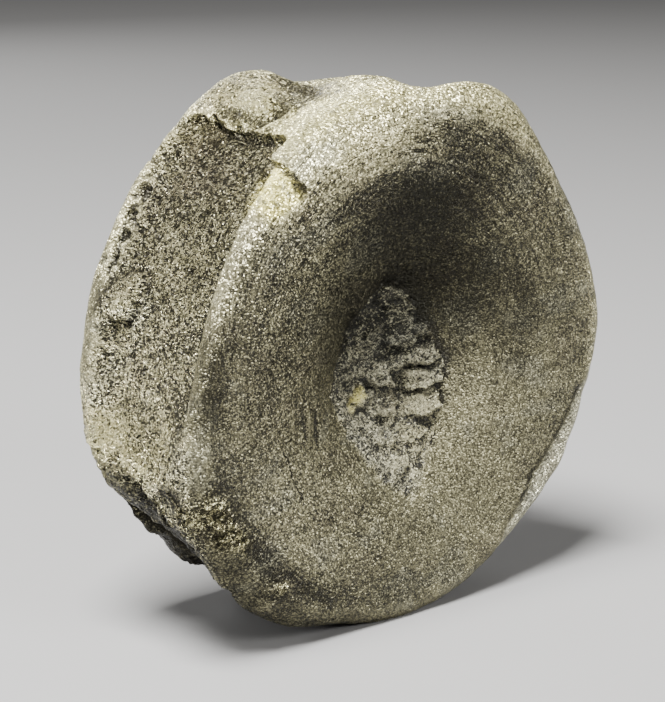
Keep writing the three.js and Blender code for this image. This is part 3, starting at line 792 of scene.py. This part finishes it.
chipped, strip = chip_share(skin), strip_share(skin)
crumbled = np.clip(sum(near(skin, *crumb) for crumb in CRUMBS), 0.0, 1.0)
bits = cells(skin / 1.15 + 0.25 * ruggedness(skin * 0.9, 71)[:, None], 70)
bit_height = crumbled * (1.3 * (bits[2] - 0.35) * ease(0.0, 0.35, bits[1] - bits[0]) - 0.5 * bits[3][:, 2])
push = bit_height - CHIP["depth"] * chipped - STRIP_DEPTH * strip + patches(skin, DENTS)
print("points broken:", int((chipped > 0.5).sum()), "chip,", int((strip > 0.5).sum()), "strip")


# %% [markdown]
# The whole skin is a little rough. Where its smooth outer layer has gone, on the trough's floor and in bands
# round the sides, the inside shows as a woolly grain. Both could be left to the material, but real relief
# catches the lamps at a grazing angle and breaks up the edges of shadows, so they are part of the shape.

# %% Roughness all over, and a woolly grain where the bone is open
GRAIN_HEIGHT = 0.42
PAST_SOLID = 0.5  # how far the skin may pass the solid along Y


def vertex_normals(points, faces, triangles):
    """Unit normals: each face's cross product of its diagonals or edges, summed at its corners."""
    total = np.zeros_like(points)
    diagonal = np.cross(points[faces[:, 2]] - points[faces[:, 0]], points[faces[:, 3]] - points[faces[:, 1]])
    first, second, third = (points[triangles[:, k]] for k in range(3))
    for loop, across in ((faces, diagonal), (triangles, np.cross(second - first, third - first))):
        for corner in range(loop.shape[1]):
            for k in range(3):
                total[:, k] += np.bincount(loop[:, corner], across[:, k], len(points))
    return total / np.linalg.norm(total, axis=1, keepdims=True)


around, out_by = polar(skin)
y = skin[:, 1]
foot_grit = lobe(around, 200, 17, 4) * ease(-13.3, -11.5, y) * ease(38.0, 41.0, out_by)
side_grit = lobe(around, 8, 44, 4) * ease(-11.0, -6.0, y) * ease(11.5, 7.0, y) * ease(30.0, 36.0, out_by)
side_grit = side_grit * (0.55 + 0.45 * ruggedness(skin * 0.09, 77))
grit = np.clip(trough_mask + foot_grit + side_grit, 0.0, 1.0)
fibres = ruggedness(skin * np.array([1.1, 1.6, 0.55]), 11)
grains = cells(skin * np.array([1.5, 1.9, 0.9]) + 0.5 * fibres[:, None], 75)
woolly = GRAIN_HEIGHT * grit * (0.45 * fibres + 0.35 * (grains[2] - 0.5) - 0.3 * grains[3][:, 2])
rough = 0.2 * ruggedness(skin * 0.22, 7, 4) + 0.035 * ruggedness(skin * 1.1, 9, 2)
skin = skin + (push + rough + woolly)[:, None] * vertex_normals(skin, quads, joining)
skin[:, 1] = np.clip(skin[:, 1], -HALF - PAST_SOLID, HALF + PAST_SOLID)
skin[:, 2] = np.maximum(skin[:, 2], -AXIS_HEIGHT)
own_low, own_high = skin.min(axis=0), skin.max(axis=0)
skin = skin + disc_axis
print("own size, mm:", np.round(own_high - own_low, 2), "middle:", np.round((own_high + own_low) / 2, 2))

# %% [markdown]
# ## Where the bone is worn, and painted shade in its hollows
#
# Handling brightens what stands out, and the hollows get painted shade. A point stands out when it lies
# above the mean of its neighbours, so the skin's points are averaged with their neighbours a few times, and
# the height of each true point over its average is kept. Few rounds find small grains, and many rounds find
# whole edges.

# %% Height of each point over its surroundings
FINE_ROUNDS = 8
BROAD_ROUNDS = 60


def smoothed(points, faces, triangles, rounds):
    """The points after that many rounds of averaging each with its neighbours."""
    pairs = [(loop[:, k], loop[:, (k + 1) % loop.shape[1]])
             for loop in (faces, triangles) for k in range(loop.shape[1])]
    start = np.concatenate([pair[0] for pair in pairs])
    end = np.concatenate([pair[1] for pair in pairs])
    count = np.bincount(start, minlength=len(points))[:, None]
    for _ in range(rounds):
        total = np.stack([np.bincount(start, points[end, k], len(points)) for k in range(3)], axis=1)
        points = 0.5 * points + 0.5 * total / count
    return points


normals = vertex_normals(skin, quads, joining)
once = smoothed(skin, quads, joining, FINE_ROUNDS)
twice = smoothed(once, quads, joining, BROAD_ROUNDS)
fine_height = np.sum((skin - once) * normals, axis=1)
broad_height = np.sum((skin - twice) * normals, axis=1)
place = skin - disc_axis
around, out_by = polar(place)
y = place[:, 1]
nearer = ease(8.0, -4.0, y)
worn = ease(0.01, 0.14, fine_height) * 0.5 + ease(0.02, 0.35, broad_height) * 0.6
# hollow: painted shade, darker the deeper a point lies under its surroundings; the broad hollows only on the
# near side
hollow = ease(-0.01, -0.14, fine_height) * 0.5 + ease(-0.05, -0.5, broad_height) * 0.7 * nearer
print("worn share", round(float(worn.mean()), 2), "hollow share", round(float(hollow.mean()), 2))

# %% [markdown]
# ## Regions of the bone
#
# The colours of the bone change from place to place. The rock under the flaked lip is straw yellow. Light and
# shade are painted in as well: the top shoulder, the lips, the foot's shoulder and the dish's lower side get
# painted highlights, and the ledge's shadow, the pits, the crevice, the dish's upper side and the underside
# get painted shade. Each region is a number at every point: 0 outside it and about 1 inside. Rims and walls
# are given by angle, distance from the axis and place along Y, and small patches by a ball in space. The
# regions are then added up, each with its weight, into one mask for each way in which the finish can change.
# A mask may pass 1 or go below 0 where weights add up or are taken away.

# %% Regions given by angle, distance and place along Y
on_wall = np.zeros(len(skin))
on_wall[wall_start:far_start] = 1.0
front_edge = ease(-8.0, -11.0, y)
# lip, right_edge, shoulder, top, far_lip and foot_shoulder carry painted highlights where surfaces face the
# lamps; lip_shade and strip_edge carry painted shade
lip = lobe(around, 130, 32, 4) * ease(34.0, 37.5, out_by) * front_edge
lip_shade = lobe(around, 176, 12, 4) * ease(33.0, 37.0, out_by) * front_edge
right_edge = (lobe(around, 5, 18) + lobe(around, 355, 18)) * ease(39.0, 41.0, out_by) * front_edge
shoulder = lobe(around, 106, 21) * ease(26.0, 41.0, out_by) * ease(4.0, -8.0, y)
top = lobe(around, 88, 42, 4) * ease(37.5, 40.5, out_by)
far_lip = lobe(around, 162, 36, 4) * ease(10.5, 12.5, y) * ease(35.0, 37.5, out_by)
far_ring = ease(4.0, 8.0, y) * bell(out_by, 29.0, 7.0) * lobe(around, 70, 80)
foot_shoulder = lobe(around, 193.5, 6.5) * ease(36.5, 38.5, out_by)
foot_shoulder = foot_shoulder * ease(-9.0, -4.0, y) * ease(13.0, 10.0, y)
foot_shoulder = foot_shoulder * np.clip(1.0 + 1.1 * ruggedness(place * 0.13, 78), 0.2, 1.6)
strip_edge = bell(out_by, line_at(STRIP_LINE, around) - 0.45, 0.5) * lobe(around, 325, 22, 4) * front_edge
knob = on_wall * lobe(around, 108.0, 9.0, 3.0) * ease(-5.0, -1.0, y)
# swirled: painted highlight on the swirls' domes and painted shade in their furrows and hollows
swirled = on_wall * swirls(around, y)
# pitted, crevice, valley and under_ledge feed only the painted shade: darker pits, crevice, valley by the lip
# and band under the ledge
pitted = on_wall * pits(around, y)
crevice = on_wall * bell(past_crevice(around, y), 0.8, 1.3) * lobe(around, 218, 20, 6)
valley = on_wall * swelling(around, y, 186.0, -6.5, 7.0, 2.6, 1.2)
under_ledge = trough_mask * lobe(around, 120.5, 8.0)
# low_plug: painted light on the plug's lower part, which faces up; high_plug: painted shade on its upper part
low_plug = plug_mask * ease(2.0, -8.0, place[:, 2])
high_plug = plug_mask * ease(-4.0, 4.0, place[:, 2])
# underneath: painted shade on the underside, where the lamps hardly reach; less on the broken bits, more
# behind the near rim
underneath = lobe(around, 227, 29, 4) * ease(35.0, 38.0, out_by) * (1.0 - 0.6 * crumbled)
underneath = underneath * mix(0.65, 1.1, ease(-13.0, -8.0, y))
streaked = ease(18.0, 30.0, out_by) * (0.15 + 0.85 * lobe(around, 100, 55)) * nearer
streaked = (streaked + 0.35 * ease(8.0, 20.0, out_by) * ease(2.0, 10.0, y)) * (1.0 - trough_mask)
# angle, place along Y, half-widths round and along of the spots of painted shade round the knob's boss
BOSS_SHADE_SPOTS = [(106.5, -0.8, 5.0, 3.2), (116.3, 3.0, 1.2, 5.5), (99.0, 4.5, 3.6, 4.5)]
boss_shade = on_wall * sum(swelling(around, y, *spot, 1.5) for spot in BOSS_SHADE_SPOTS)
print("shoulder and top cover", round(float((shoulder + top > 0.5).mean()), 2), "of the points")

# %% Patches given by a ball in space
# lower_dish: painted light on the dish's lower side, which faces up; it also calms the relief there
lower_dish = near(place, (13.0, -8.0, -17.0), 19.0)
bare_rock = chipped * near(place, (-24.0, -11.5, 28.0), 5.2)
# middles, in X and Z, of the straw-coloured sliver in the plug
SLIVER = [(-4.9, -8.4), (-4.0, -7.6), (-3.2, -6.8), (-2.6, -6.2)]
sliver = np.clip(sum(near(place, (x, -6.5, z), (0.85, 3.0, 0.75)) for x, z in SLIVER), 0.0, 1.0)
# dish_shade: painted shade on the upper side of the near dish, which faces down
dish_shade = bell(place[:, 0], 6.0, 15.0) * bell(place[:, 2], 10.0, 10.5) * (y < 0.0)
# place, reach, and how much it adds to the mask
# painted highlights: the top of the knob's boss, and lighter patches on the near face's lower left and upper
# left
PAINTED_LIGHT_PATCHES = [
    ((-16.0, 3.8, 38.9), (2.4, 3.4, 1.8), 1.4),  # top of the knob's boss
    ((-20.0, -12.0, -22.0), 12.0, 0.3),
    ((-18.0, -12.0, 24.0), 10.0, 0.25),
]
# painted shade: below and beside the knob's boss, the dish's upper side, the dish's right side and the far
# pit
PAINTED_SHADE_PATCHES = [
    ((-15.2, -1.5, 38.2), (3.2, 1.6, 2.2), 1.0),  # before and behind the boss
    ((-17.4, 5.6, 37.2), 1.6, 0.15),
    ((4.0, -11.0, 24.0), (16.0, 6.0, 7.0), 0.9),  # the dish's upper side
    ((20.0, -9.0, 4.0), 12.0, 0.3),
    ((-1.0, 8.0, 0.8), 9.0, 1.1),  # the far pit
]
COOL_PATCHES = [((-27.0, -14.0, -26.0), 3.0, 0.6), ((-25.5, -13.5, 18.5), 2.5, 0.5)]
CALM_PATCHES = [((26.0, -11.0, 0.0), 12.0, 0.5), ((-26.0, -12.0, 10.0), (12.0, 8.0, 26.0), -0.9)]
print("the sliver covers", int((sliver > 0.5).sum()), "points")


# %% One mask for each way in which the finish changes
def added(*regions):
    """The sum of regions, each with its weight."""
    return sum(weight * region for weight, region in regions)


masks = {
    "plug": plug_mask,
    "trough": np.clip(grit + 0.45 * knob, 0.0, 1.0),
    "chip": chipped,
    "crumb": crumbled,
    "worn": worn,
    # painted shade in the hollows
    "hollow": hollow,
    "streak": streaked,
    # painted shade on the underside
    "under": underneath,
    "calm": lower_dish + patches(place, CALM_PATCHES),
    # painted highlights on the shoulder, top, lips, rim edges, foot shoulder, knob, swirls and the dish's and
    # plug's lower sides, painted shade on the lip's lower end, along the strip and round the boss; also
    # lighter bare rock, the sliver, the broken strip and a ring on the far face
    "pale": patches(place, PAINTED_LIGHT_PATCHES) + added(
        (0.2, low_plug), (0.75, lip), (1.25, shoulder), (0.9, top), (1.8, foot_shoulder), (0.35, lower_dish),
        (1.5, strip), (0.35, right_edge), (0.7, far_lip), (0.45, far_ring), (0.15, knob), (0.3, swirled),
        (1.3, bare_rock), (1.3, sliver), (-0.55, lip_shade), (-1.2, boss_shade), (-0.8, strip_edge)),
    # painted shade: the dish's upper side and the plug's upper part, under the ledge, in the pits, the
    # crevice and the valley by the lip, in the swirls' furrows and round the knob's boss
    "stain": patches(place, PAINTED_SHADE_PATCHES) + added(
        (1.0, dish_shade), (0.95, under_ledge), (1.3, np.clip(pitted, 0.0, 1.0)), (1.4, crevice),
        (0.9, valley), (2.2, np.clip(-swirled, 0.0, 1.0)), (0.6, boss_shade), (0.4, high_plug)),
    # straw yellow of the bare rock, the sliver and the crumbs, and a yellow tint in the painted highlights of
    # the shoulder, top and foot shoulder
    "straw": np.clip(added((3.0, bare_rock), (1.2, sliver), (0.2, crumbled), (0.12, foot_shoulder),
                           (0.22, shoulder), (0.22, top)), 0.0, 1.0),
    "cool": plug_mask * (0.6 - 0.6 * near(place, (9.0, -8.0, -15.0), 9.0))
    + patches(place, COOL_PATCHES) + added((0.2, lip), (0.9, strip)),
    "brown": 0.8 * trough_mask * lobe(around, 124, 14) + 0.8 * near(place, (-7.0, 0.5, 40.0), 6.0),
}
for name, values in masks.items():
    print(name, "from", round(float(values.min()), 2), "to", round(float(values.max()), 2))

# %% [markdown]
# ## The mesh
#
# The skin becomes one smooth-shaded mesh, and each mask is kept on it as an attribute, one number for each
# point, which the material reads. The piece rides on the part's only body, and stands in for its solid.

# %% The mesh
mesh = bpy.data.meshes.new("centrum_bone")
mesh.from_pydata((skin * MM).tolist(), [], quads.tolist() + joining.tolist())
mesh.polygons.foreach_set("use_smooth", np.ones(len(mesh.polygons), bool))
for name, values in masks.items():
    mesh.attributes.new(name, "FLOAT", "POINT").data.foreach_set("value", values.astype(np.float32))
mesh.update()
bone = put_in_scene("centrum_bone", mesh)
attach(bone, "root")
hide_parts("centrum")
print(bone.name, "has", len(mesh.polygons), "faces and", len(masks), "masks")

# %% [markdown]
# ## Shader sums as Python
#
# A material is a sum of patterns, and sums are easier to read as sums. `Value` wraps a node's output, and
# each operator on it adds the Math node that does the same. Every other node is made by `add`, which takes
# the node's type, its settings and what goes into its sockets.

# %% A small language for nodes
class Value:
    """A node's output. + - * / and ** on it add Math nodes."""

    tree = None

    def __init__(self, output):
        self.output = output

    @classmethod
    def add(cls, kind, settings=None, inputs=None, output=0):
        """A new node: its settings first, then the values or links of its sockets, by name or number."""
        node = cls.tree.nodes.new(kind)
        for name, value in (settings or {}).items():
            setattr(node, name, value)
        for name, value in (inputs or {}).items():
            if isinstance(value, Value):
                cls.tree.links.new(value.output, node.inputs[name])
            else:
                node.inputs[name].default_value = value
        return cls(node.outputs[output])

    def also(self, name):
        """Another output of the same node."""
        return Value(self.output.node.outputs[name])

    def math(self, operation, *others, clamp=False):
        """A Math node on this value and others."""
        settings = {"operation": operation, "use_clamp": clamp}
        return Value.add("ShaderNodeMath", settings, dict(enumerate((self, *others))))

    def __add__(self, other):
        return self.math("ADD", other)

    def __sub__(self, other):
        return self.math("SUBTRACT", other)

    def __rsub__(self, other):
        return (self * -1.0).math("ADD", other)

    def __mul__(self, other):
        return self.math("MULTIPLY", other)

    def __truediv__(self, other):
        return self.math("DIVIDE", other)

    def __pow__(self, other):
        return self.math("POWER", other)

    __radd__ = __add__
    __rmul__ = __mul__

    def ease(self, start, end):
        """A smooth step from 0 at start to 1 at end."""
        inputs = {0: self, 1: start, 2: end, 3: 0.0, 4: 1.0}
        return Value.add("ShaderNodeMapRange", {"interpolation_type": "SMOOTHSTEP"}, inputs)


def vector_math(operation, first, second, output=0):
    """A Vector Math node."""
    return Value.add("ShaderNodeVectorMath", {"operation": operation}, {0: first, 1: second}, output)


def multiply_add(vector, by, plus):
    """A vector times three numbers, plus three more."""
    return Value.add("ShaderNodeVectorMath", {"operation": "MULTIPLY_ADD"}, {0: vector, 1: by, 2: plus})


def scaled(vector, factors):
    """A vector stretched along its three axes."""
    return vector_math("MULTIPLY", vector, factors)


def clouds(vector, size, detail=3.0, roughness=0.5, warp=0.0):
    """Blender's noise, from 0 to 1, with features of that size."""
    inputs = {"Vector": vector, "Scale": 1.0 / size, "Detail": detail}
    inputs = {**inputs, "Roughness": roughness, "Distortion": warp}
    return Value.add("ShaderNodeTexNoise", {}, inputs, "Fac")


def filaments(vector, size, width, warp):
    """Thin curling lines: 1 where warped noise crosses its middle."""
    return (clouds(vector, size, 2.0, 0.5, warp) - 0.5).math("ABSOLUTE").ease(width, 0.0)


def tint(share, first, second):
    """The first colour where share is 0 and the second where it is 1."""
    return Value.add("ShaderNodeMix", {"data_type": "RGBA"}, {0: share, 6: first, 7: second}, 2)


def crystals(vector, size):
    """Random crystals: the brightness of each, the distance from its middle, and its tilted facet."""
    inner = scaled(vector, (1.0 / size,) * 3)
    edge = Value.add("ShaderNodeTexVoronoi", {}, {"Vector": inner, "Scale": 1.0}, "Distance")
    colour = edge.also("Color")
    way = vector_math("SUBTRACT", inner, edge.also("Position"))
    lean = vector_math("SUBTRACT", colour, (0.5, 0.5, 0.5))
    bright = Value.add("ShaderNodeSeparateColor", {}, {0: colour}, 0)
    return bright, edge, vector_math("DOT_PRODUCT", way, lean, "Value") * size


print("tools for nodes:", ", ".join(tool.__name__ for tool in (scaled, clouds, filaments, tint, crystals)))


# %% [markdown]
# ## The bone's finish
#
# The bone has turned to dark mineral with a bronze sheen. Close to, it is a mosaic of tiny crystals. Each one
# is a flat facet tipped its own way, so under one lamp some flash and the rest stay dark. That is what makes
# it look metallic and gritty at once, and the brightest crystals get a painted highlight in their colour too.
# Over the mosaic lie slow clouds of brown and grey, lighter wear on what stands out, painted highlights and
# painted shade from the masks, and the cooler, duller mineral of the plug. Patterns are in millimetres of the
# bone itself.
#
# The patterns come first. Then three sums use them, each a list of layers with their strengths: the tone
# that picks a colour, the gloss, and the relief.

# %% Cracks and scratches
# both ends in X and Z, width, how far it wanders, and its strength
CRACKS = [((-23.2, -10.2), (-19.6, -19.4), 0.2, 2.2, 1.0), ((-24.0, 32.6), (-19.9, 28.3), 0.5, 1.8, 1.0)]
SCRATCHES = [
    ((-22.2, -24.0), (-17.0, -28.8), 0.3, 2.0, 0.6), ((13.5, -7.5), (23.0, -12.5), 0.10, 2.5, 0.5),
    ((17.5, 16.5), (27.0, 22.0), 0.14, 2.0, 0.45), ((24.5, 11.0), (30.0, 17.5), 0.16, 1.5, 0.4),
    ((-19.0, 20.5), (-10.5, 27.5), 0.12, 2.0, 0.35),
]


def scratch(place, start, end, width, wander_by):
    """1 on a thin wandering line across an end face, given by its two ends."""
    shaken = Value.add("ShaderNodeTexNoise", {}, {"Vector": place, "Scale": 0.7, "Detail": 3.0}, "Color")
    shift = multiply_add(shaken, (wander_by,) * 3, (-wander_by / 2,) * 3)
    point = scaled(vector_math("ADD", place, shift), (1.0, 0.0, 1.0))
    first = Vector((start[0], 0.0, start[1]))
    line = Vector((end[0] - start[0], 0.0, end[1] - start[1]))
    from_start = vector_math("SUBTRACT", point, first)
    share = vector_math("DOT_PRODUCT", from_start, line, "Value") / line.length_squared
    share = share.math("ADD", 0.0, clamp=True)
    foot = Value.add("ShaderNodeVectorMath", {"operation": "SCALE"}, {0: line, "Scale": share})
    return vector_math("DISTANCE", from_start, foot, "Value").ease(width, width * 0.3)


def scratched(place, lines):
    """Every line of a list, as strong as the list says, on the near face alone."""
    front = Value.add("ShaderNodeSeparateXYZ", {}, {0: place}, "Y").ease(-2.0, -5.0)
    return sum(scratch(place, *line) * strength for *line, strength in lines) * front


print(len(CRACKS), "cracks and", len(SCRATCHES), "scratches")


# %% The patterns, by name
CRYSTAL = 0.26  # size in mm
BIG_CRYSTAL = 0.55
RING_TURNS = 3.2  # how fast the rings' pattern changes round the axis


def bone_patterns():
    """Every mask and pattern of the finish."""
    p = SimpleNamespace(**{name: Value.add("ShaderNodeAttribute", {"attribute_name": name}, {}, "Fac")
                           for name in masks})
    p.coarse = p.trough * 0.8 + p.crumb * 0.5
    coordinates = Value.add("ShaderNodeTexCoord", {}, {}, "Object")
    place = multiply_add(coordinates, (PER_METRE,) * 3, tuple(-disc_axis))
    p.crack, p.scratches = scratched(place, CRACKS), scratched(place, SCRATCHES)

    p.bright, p.edge, p.facet = crystals(scaled(place, (0.9, 0.9, 1.1)), CRYSTAL)
    p.big_bright, _, p.big_facet = crystals(scaled(place, (1.25, 1.1, 0.6)), BIG_CRYSTAL)
    p.sparks = p.bright.ease(0.75, 0.95) - p.bright.ease(0.28, 0.10)
    p.seams = p.edge.ease(0.3, 0.75)
    p.drift = clouds(scaled(place, (1.0, 1.0, 1.4)), 8.0, 5.0, 0.65, 0.3)
    p.mottle = clouds(place, 1.3, 4.0, 0.7)
    p.patches = clouds(scaled(place, (1.0, 1.0, 1.3)), 11.0, 4.0, 0.6, 0.4)
    p.wool = filaments(scaled(place, (0.8, 1.0, 1.2)), 1.1, 0.07, 1.6)
    p.wool = p.wool + filaments(scaled(place, (1.4, 1.6, 0.9)), 0.9, 0.07, 1.0)

    x = Value.add("ShaderNodeSeparateXYZ", {}, {0: place}, "X")
    y, z = x.also("Y"), x.also("Z")
    out_by = (x * x + z * z) ** 0.5
    ring_inputs = {0: out_by + y * 0.7, 1: x / out_by * RING_TURNS, 2: z / out_by * RING_TURNS}
    ringed = Value.add("ShaderNodeCombineXYZ", {}, ring_inputs)
    p.rings = clouds(scaled(ringed, (0.4, 0.5, 0.5)), 1.0, 2.0, 0.5) - 0.5
    p.grain = (clouds(scaled(ringed, (1.9, 5.0, 5.0)), 1.0, 2.0, 0.5) - 0.5) * out_by.ease(6.0, 15.0)
    p.line = filaments(scaled(ringed, (1.3, 2.5, 2.5)), 1.0, 0.045, 0.6) * p.streak
    return p


print("crystals of", CRYSTAL, "and", BIG_CRYSTAL, "mm")


# %% Mineral bone
# the dark and the light end of each colour
OLIVE = (0.014, 0.0125, 0.007, 1), (0.43, 0.40, 0.235, 1)
COOL = (0.016, 0.016, 0.011, 1), (0.42, 0.41, 0.31, 1)
BROWN = (0.010, 0.008, 0.005, 1), (0.235, 0.205, 0.135, 1)
STRAW = (0.10, 0.088, 0.033, 1), (0.62, 0.56, 0.19, 1)
# colour of the painted highlights on the brightest crystals
PAINTED_GLINT = (0.74, 0.70, 0.46, 1)


def layered(base, *layers):
    """A number plus a list of patterns, each with its strength, which may be a pattern too."""
    return base + sum(pattern * strength for pattern, strength in layers)


def bone_tone(p):
    """How light the bone is, from 0 to 1."""
    coarse = p.coarse
    tone = layered(
        0.36,
        (p.bright - 0.5, 0.25 + coarse * 0.5 + p.pale * 0.3 - p.calm * 0.14),
        (p.sparks, coarse * 0.45 + p.plug * 0.3),
        (p.big_bright - 0.5, coarse * 0.35),
        (p.seams, -0.20),
        (p.mottle - 0.5, 0.05 + coarse * 0.25),
        (p.drift - 0.5, 0.32 + coarse * 0.8),
        (coarse, -0.15),
        (p.rings, p.streak * 0.9),
        (p.line, -0.45),
        (p.wool - 0.5, coarse + p.plug * 0.6),
        (p.grain, 0.18),
        (p.worn, 0.25),
        # painted shade in the hollows, the shaded places and the underside, and painted light where the lamps
        # fall
        (p.hollow, -0.45),
        (p.stain, -0.25),
        (p.pale, 0.34),
        (p.under, -0.42),
    )
    tone = tone + (tone - 0.4) * coarse * 0.85  # more contrast where the bone is open
    return (tone - p.crack * 0.8 + p.scratches * 0.5).ease(0.0, 1.0)


def bone_colour(p):
    """Olive bone, cooler or browner in slow clouds, straw on bare rock, painted highlights on bright
    crystals.
    """
    tone = bone_tone(p)
    cooler = p.cool * 0.8 + p.patches.ease(0.52, 0.62) * 0.35
    colour = tint(cooler, tint(tone, *OLIVE), tint(tone, *COOL))
    browner = p.brown * p.drift.ease(0.3, 0.6) + p.patches.ease(0.46, 0.38) * 0.3
    colour = tint(browner, colour, tint(tone, *BROWN))
    colour = tint(p.straw * p.mottle.ease(0.3, 0.5), colour, tint(tone, *STRAW))
    # painted highlight: the brightest crystals turn towards a bright yellowish colour, most on open bone and
    # the plug
    painted_glints = p.bright.ease(0.82, 0.95) * (p.coarse * 0.5 + p.plug * 0.3 + p.pale * 0.12 + 0.03)
    return tint(painted_glints, colour, PAINTED_GLINT)


def bone_relief(p):
    """Height of the fine relief, in millimetres."""
    coarse = p.coarse
    return layered(
        p.facet * (0.92 + coarse * 1.9 + p.pale * 0.6 - p.calm * 0.5),
        (p.edge * p.edge, -0.09),
        (p.big_facet, 0.04 + coarse * 1.45 + p.plug * 0.9),
        (p.crack, -0.2),
        (p.mottle - 0.5, 0.02 + coarse * 0.23 + p.plug * 0.38),
        (p.rings, p.streak * 0.4),
        (p.line, -0.08),
        (p.wool, coarse * 0.3 + p.plug * 0.2),
        (p.grain, 0.08 + p.streak * 0.2),
    )


def mineral_bone():
    """The bone's material."""
    material = bpy.data.materials.new("mineral_bone")
    material.use_nodes = True
    Value.tree = material.node_tree
    p = bone_patterns()
    bump_inputs = {"Height": bone_relief(p), "Strength": 1.0, "Distance": MM}
    bump = Value.add("ShaderNodeBump", {}, bump_inputs, "Normal")
    surface = {
        "Base Color": bone_colour(p),
        "Metallic": 0.8 - p.plug * 0.5 - p.hollow * 0.15 - p.chip * 0.4,
        "Roughness": layered(0.30, (p.coarse, -0.06), (p.seams, 0.15), (p.plug, 0.16),
                             (p.mottle - 0.5, 0.16 + p.coarse * 0.14)),
        "Normal": bump,
    }
    for name, value in surface.items():
        material.node_tree.links.new(value.output, material.node_tree.nodes["Principled BSDF"].inputs[name])
    return material


mesh.materials.append(mineral_bone())
print("mineral_bone has", len(mesh.materials[0].node_tree.nodes), "nodes")

# %% [markdown]
# ## Floor, lamps and sky
#
# The floor is plain grey paper. The key lamp stands high on the left, where it rakes across the trough and
# leaves the dish's upper side in shade. Three weaker ones fill the shadows from the left, the front and
# behind, and a faint warm sky keeps the darkest places from going black.

# %% Floor, lamps and sky
FLOOR_REACH = 4.0  # metres
FLOOR_COLOUR = (0.15, 0.148, 0.144, 1)
SKY_COLOUR = (1.0, 0.97, 0.93, 1)
SKY_STRENGTH = 0.1
# azimuth, elevation, distance and side in metres, power in watts
SOFTBOXES = {
    "key_softbox": (-70, 68, 0.7, 0.28, 44.0),
    "side_softbox": (-105, 36, 0.9, 0.4, 4.5),
    "front_softbox": (8, 30, 0.9, 0.32, 8.5),
    "back_softbox": (165, 22, 0.9, 0.4, 3.5),
}

floor_mesh = bpy.data.meshes.new("floor")
floor_corners = [(-1, -1), (1, -1), (1, 1), (-1, 1)]
floor_mesh.from_pydata([(x * FLOOR_REACH, y * FLOOR_REACH, 0) for x, y in floor_corners], [], [(0, 1, 2, 3)])
floor = put_in_scene("floor", floor_mesh)
paper = bpy.data.materials.new("floor_paper")
paper.use_nodes = True
paper.node_tree.nodes["Principled BSDF"].inputs["Base Color"].default_value = FLOOR_COLOUR
paper.node_tree.nodes["Principled BSDF"].inputs["Roughness"].default_value = 0.9
floor_mesh.materials.append(paper)

world = bpy.data.worlds.new("studio")
world.use_nodes = True
world.node_tree.nodes["Background"].inputs["Color"].default_value = SKY_COLOUR
world.node_tree.nodes["Background"].inputs["Strength"].default_value = SKY_STRENGTH
bpy.context.scene.world = world

for name, (azimuth, elevation, distance, side, power) in SOFTBOXES.items():
    lamp = bpy.data.lights.new(name, "AREA")
    lamp.size = side
    lamp.energy = power
    axes = view_axes(azimuth, elevation)
    put_in_scene(name, lamp).matrix_world = look_matrix(disc_axis * MM + distance * axes[2], *axes)
print(len(SOFTBOXES), "softboxes, the strongest", max(box[4] for box in SOFTBOXES.values()), "W")
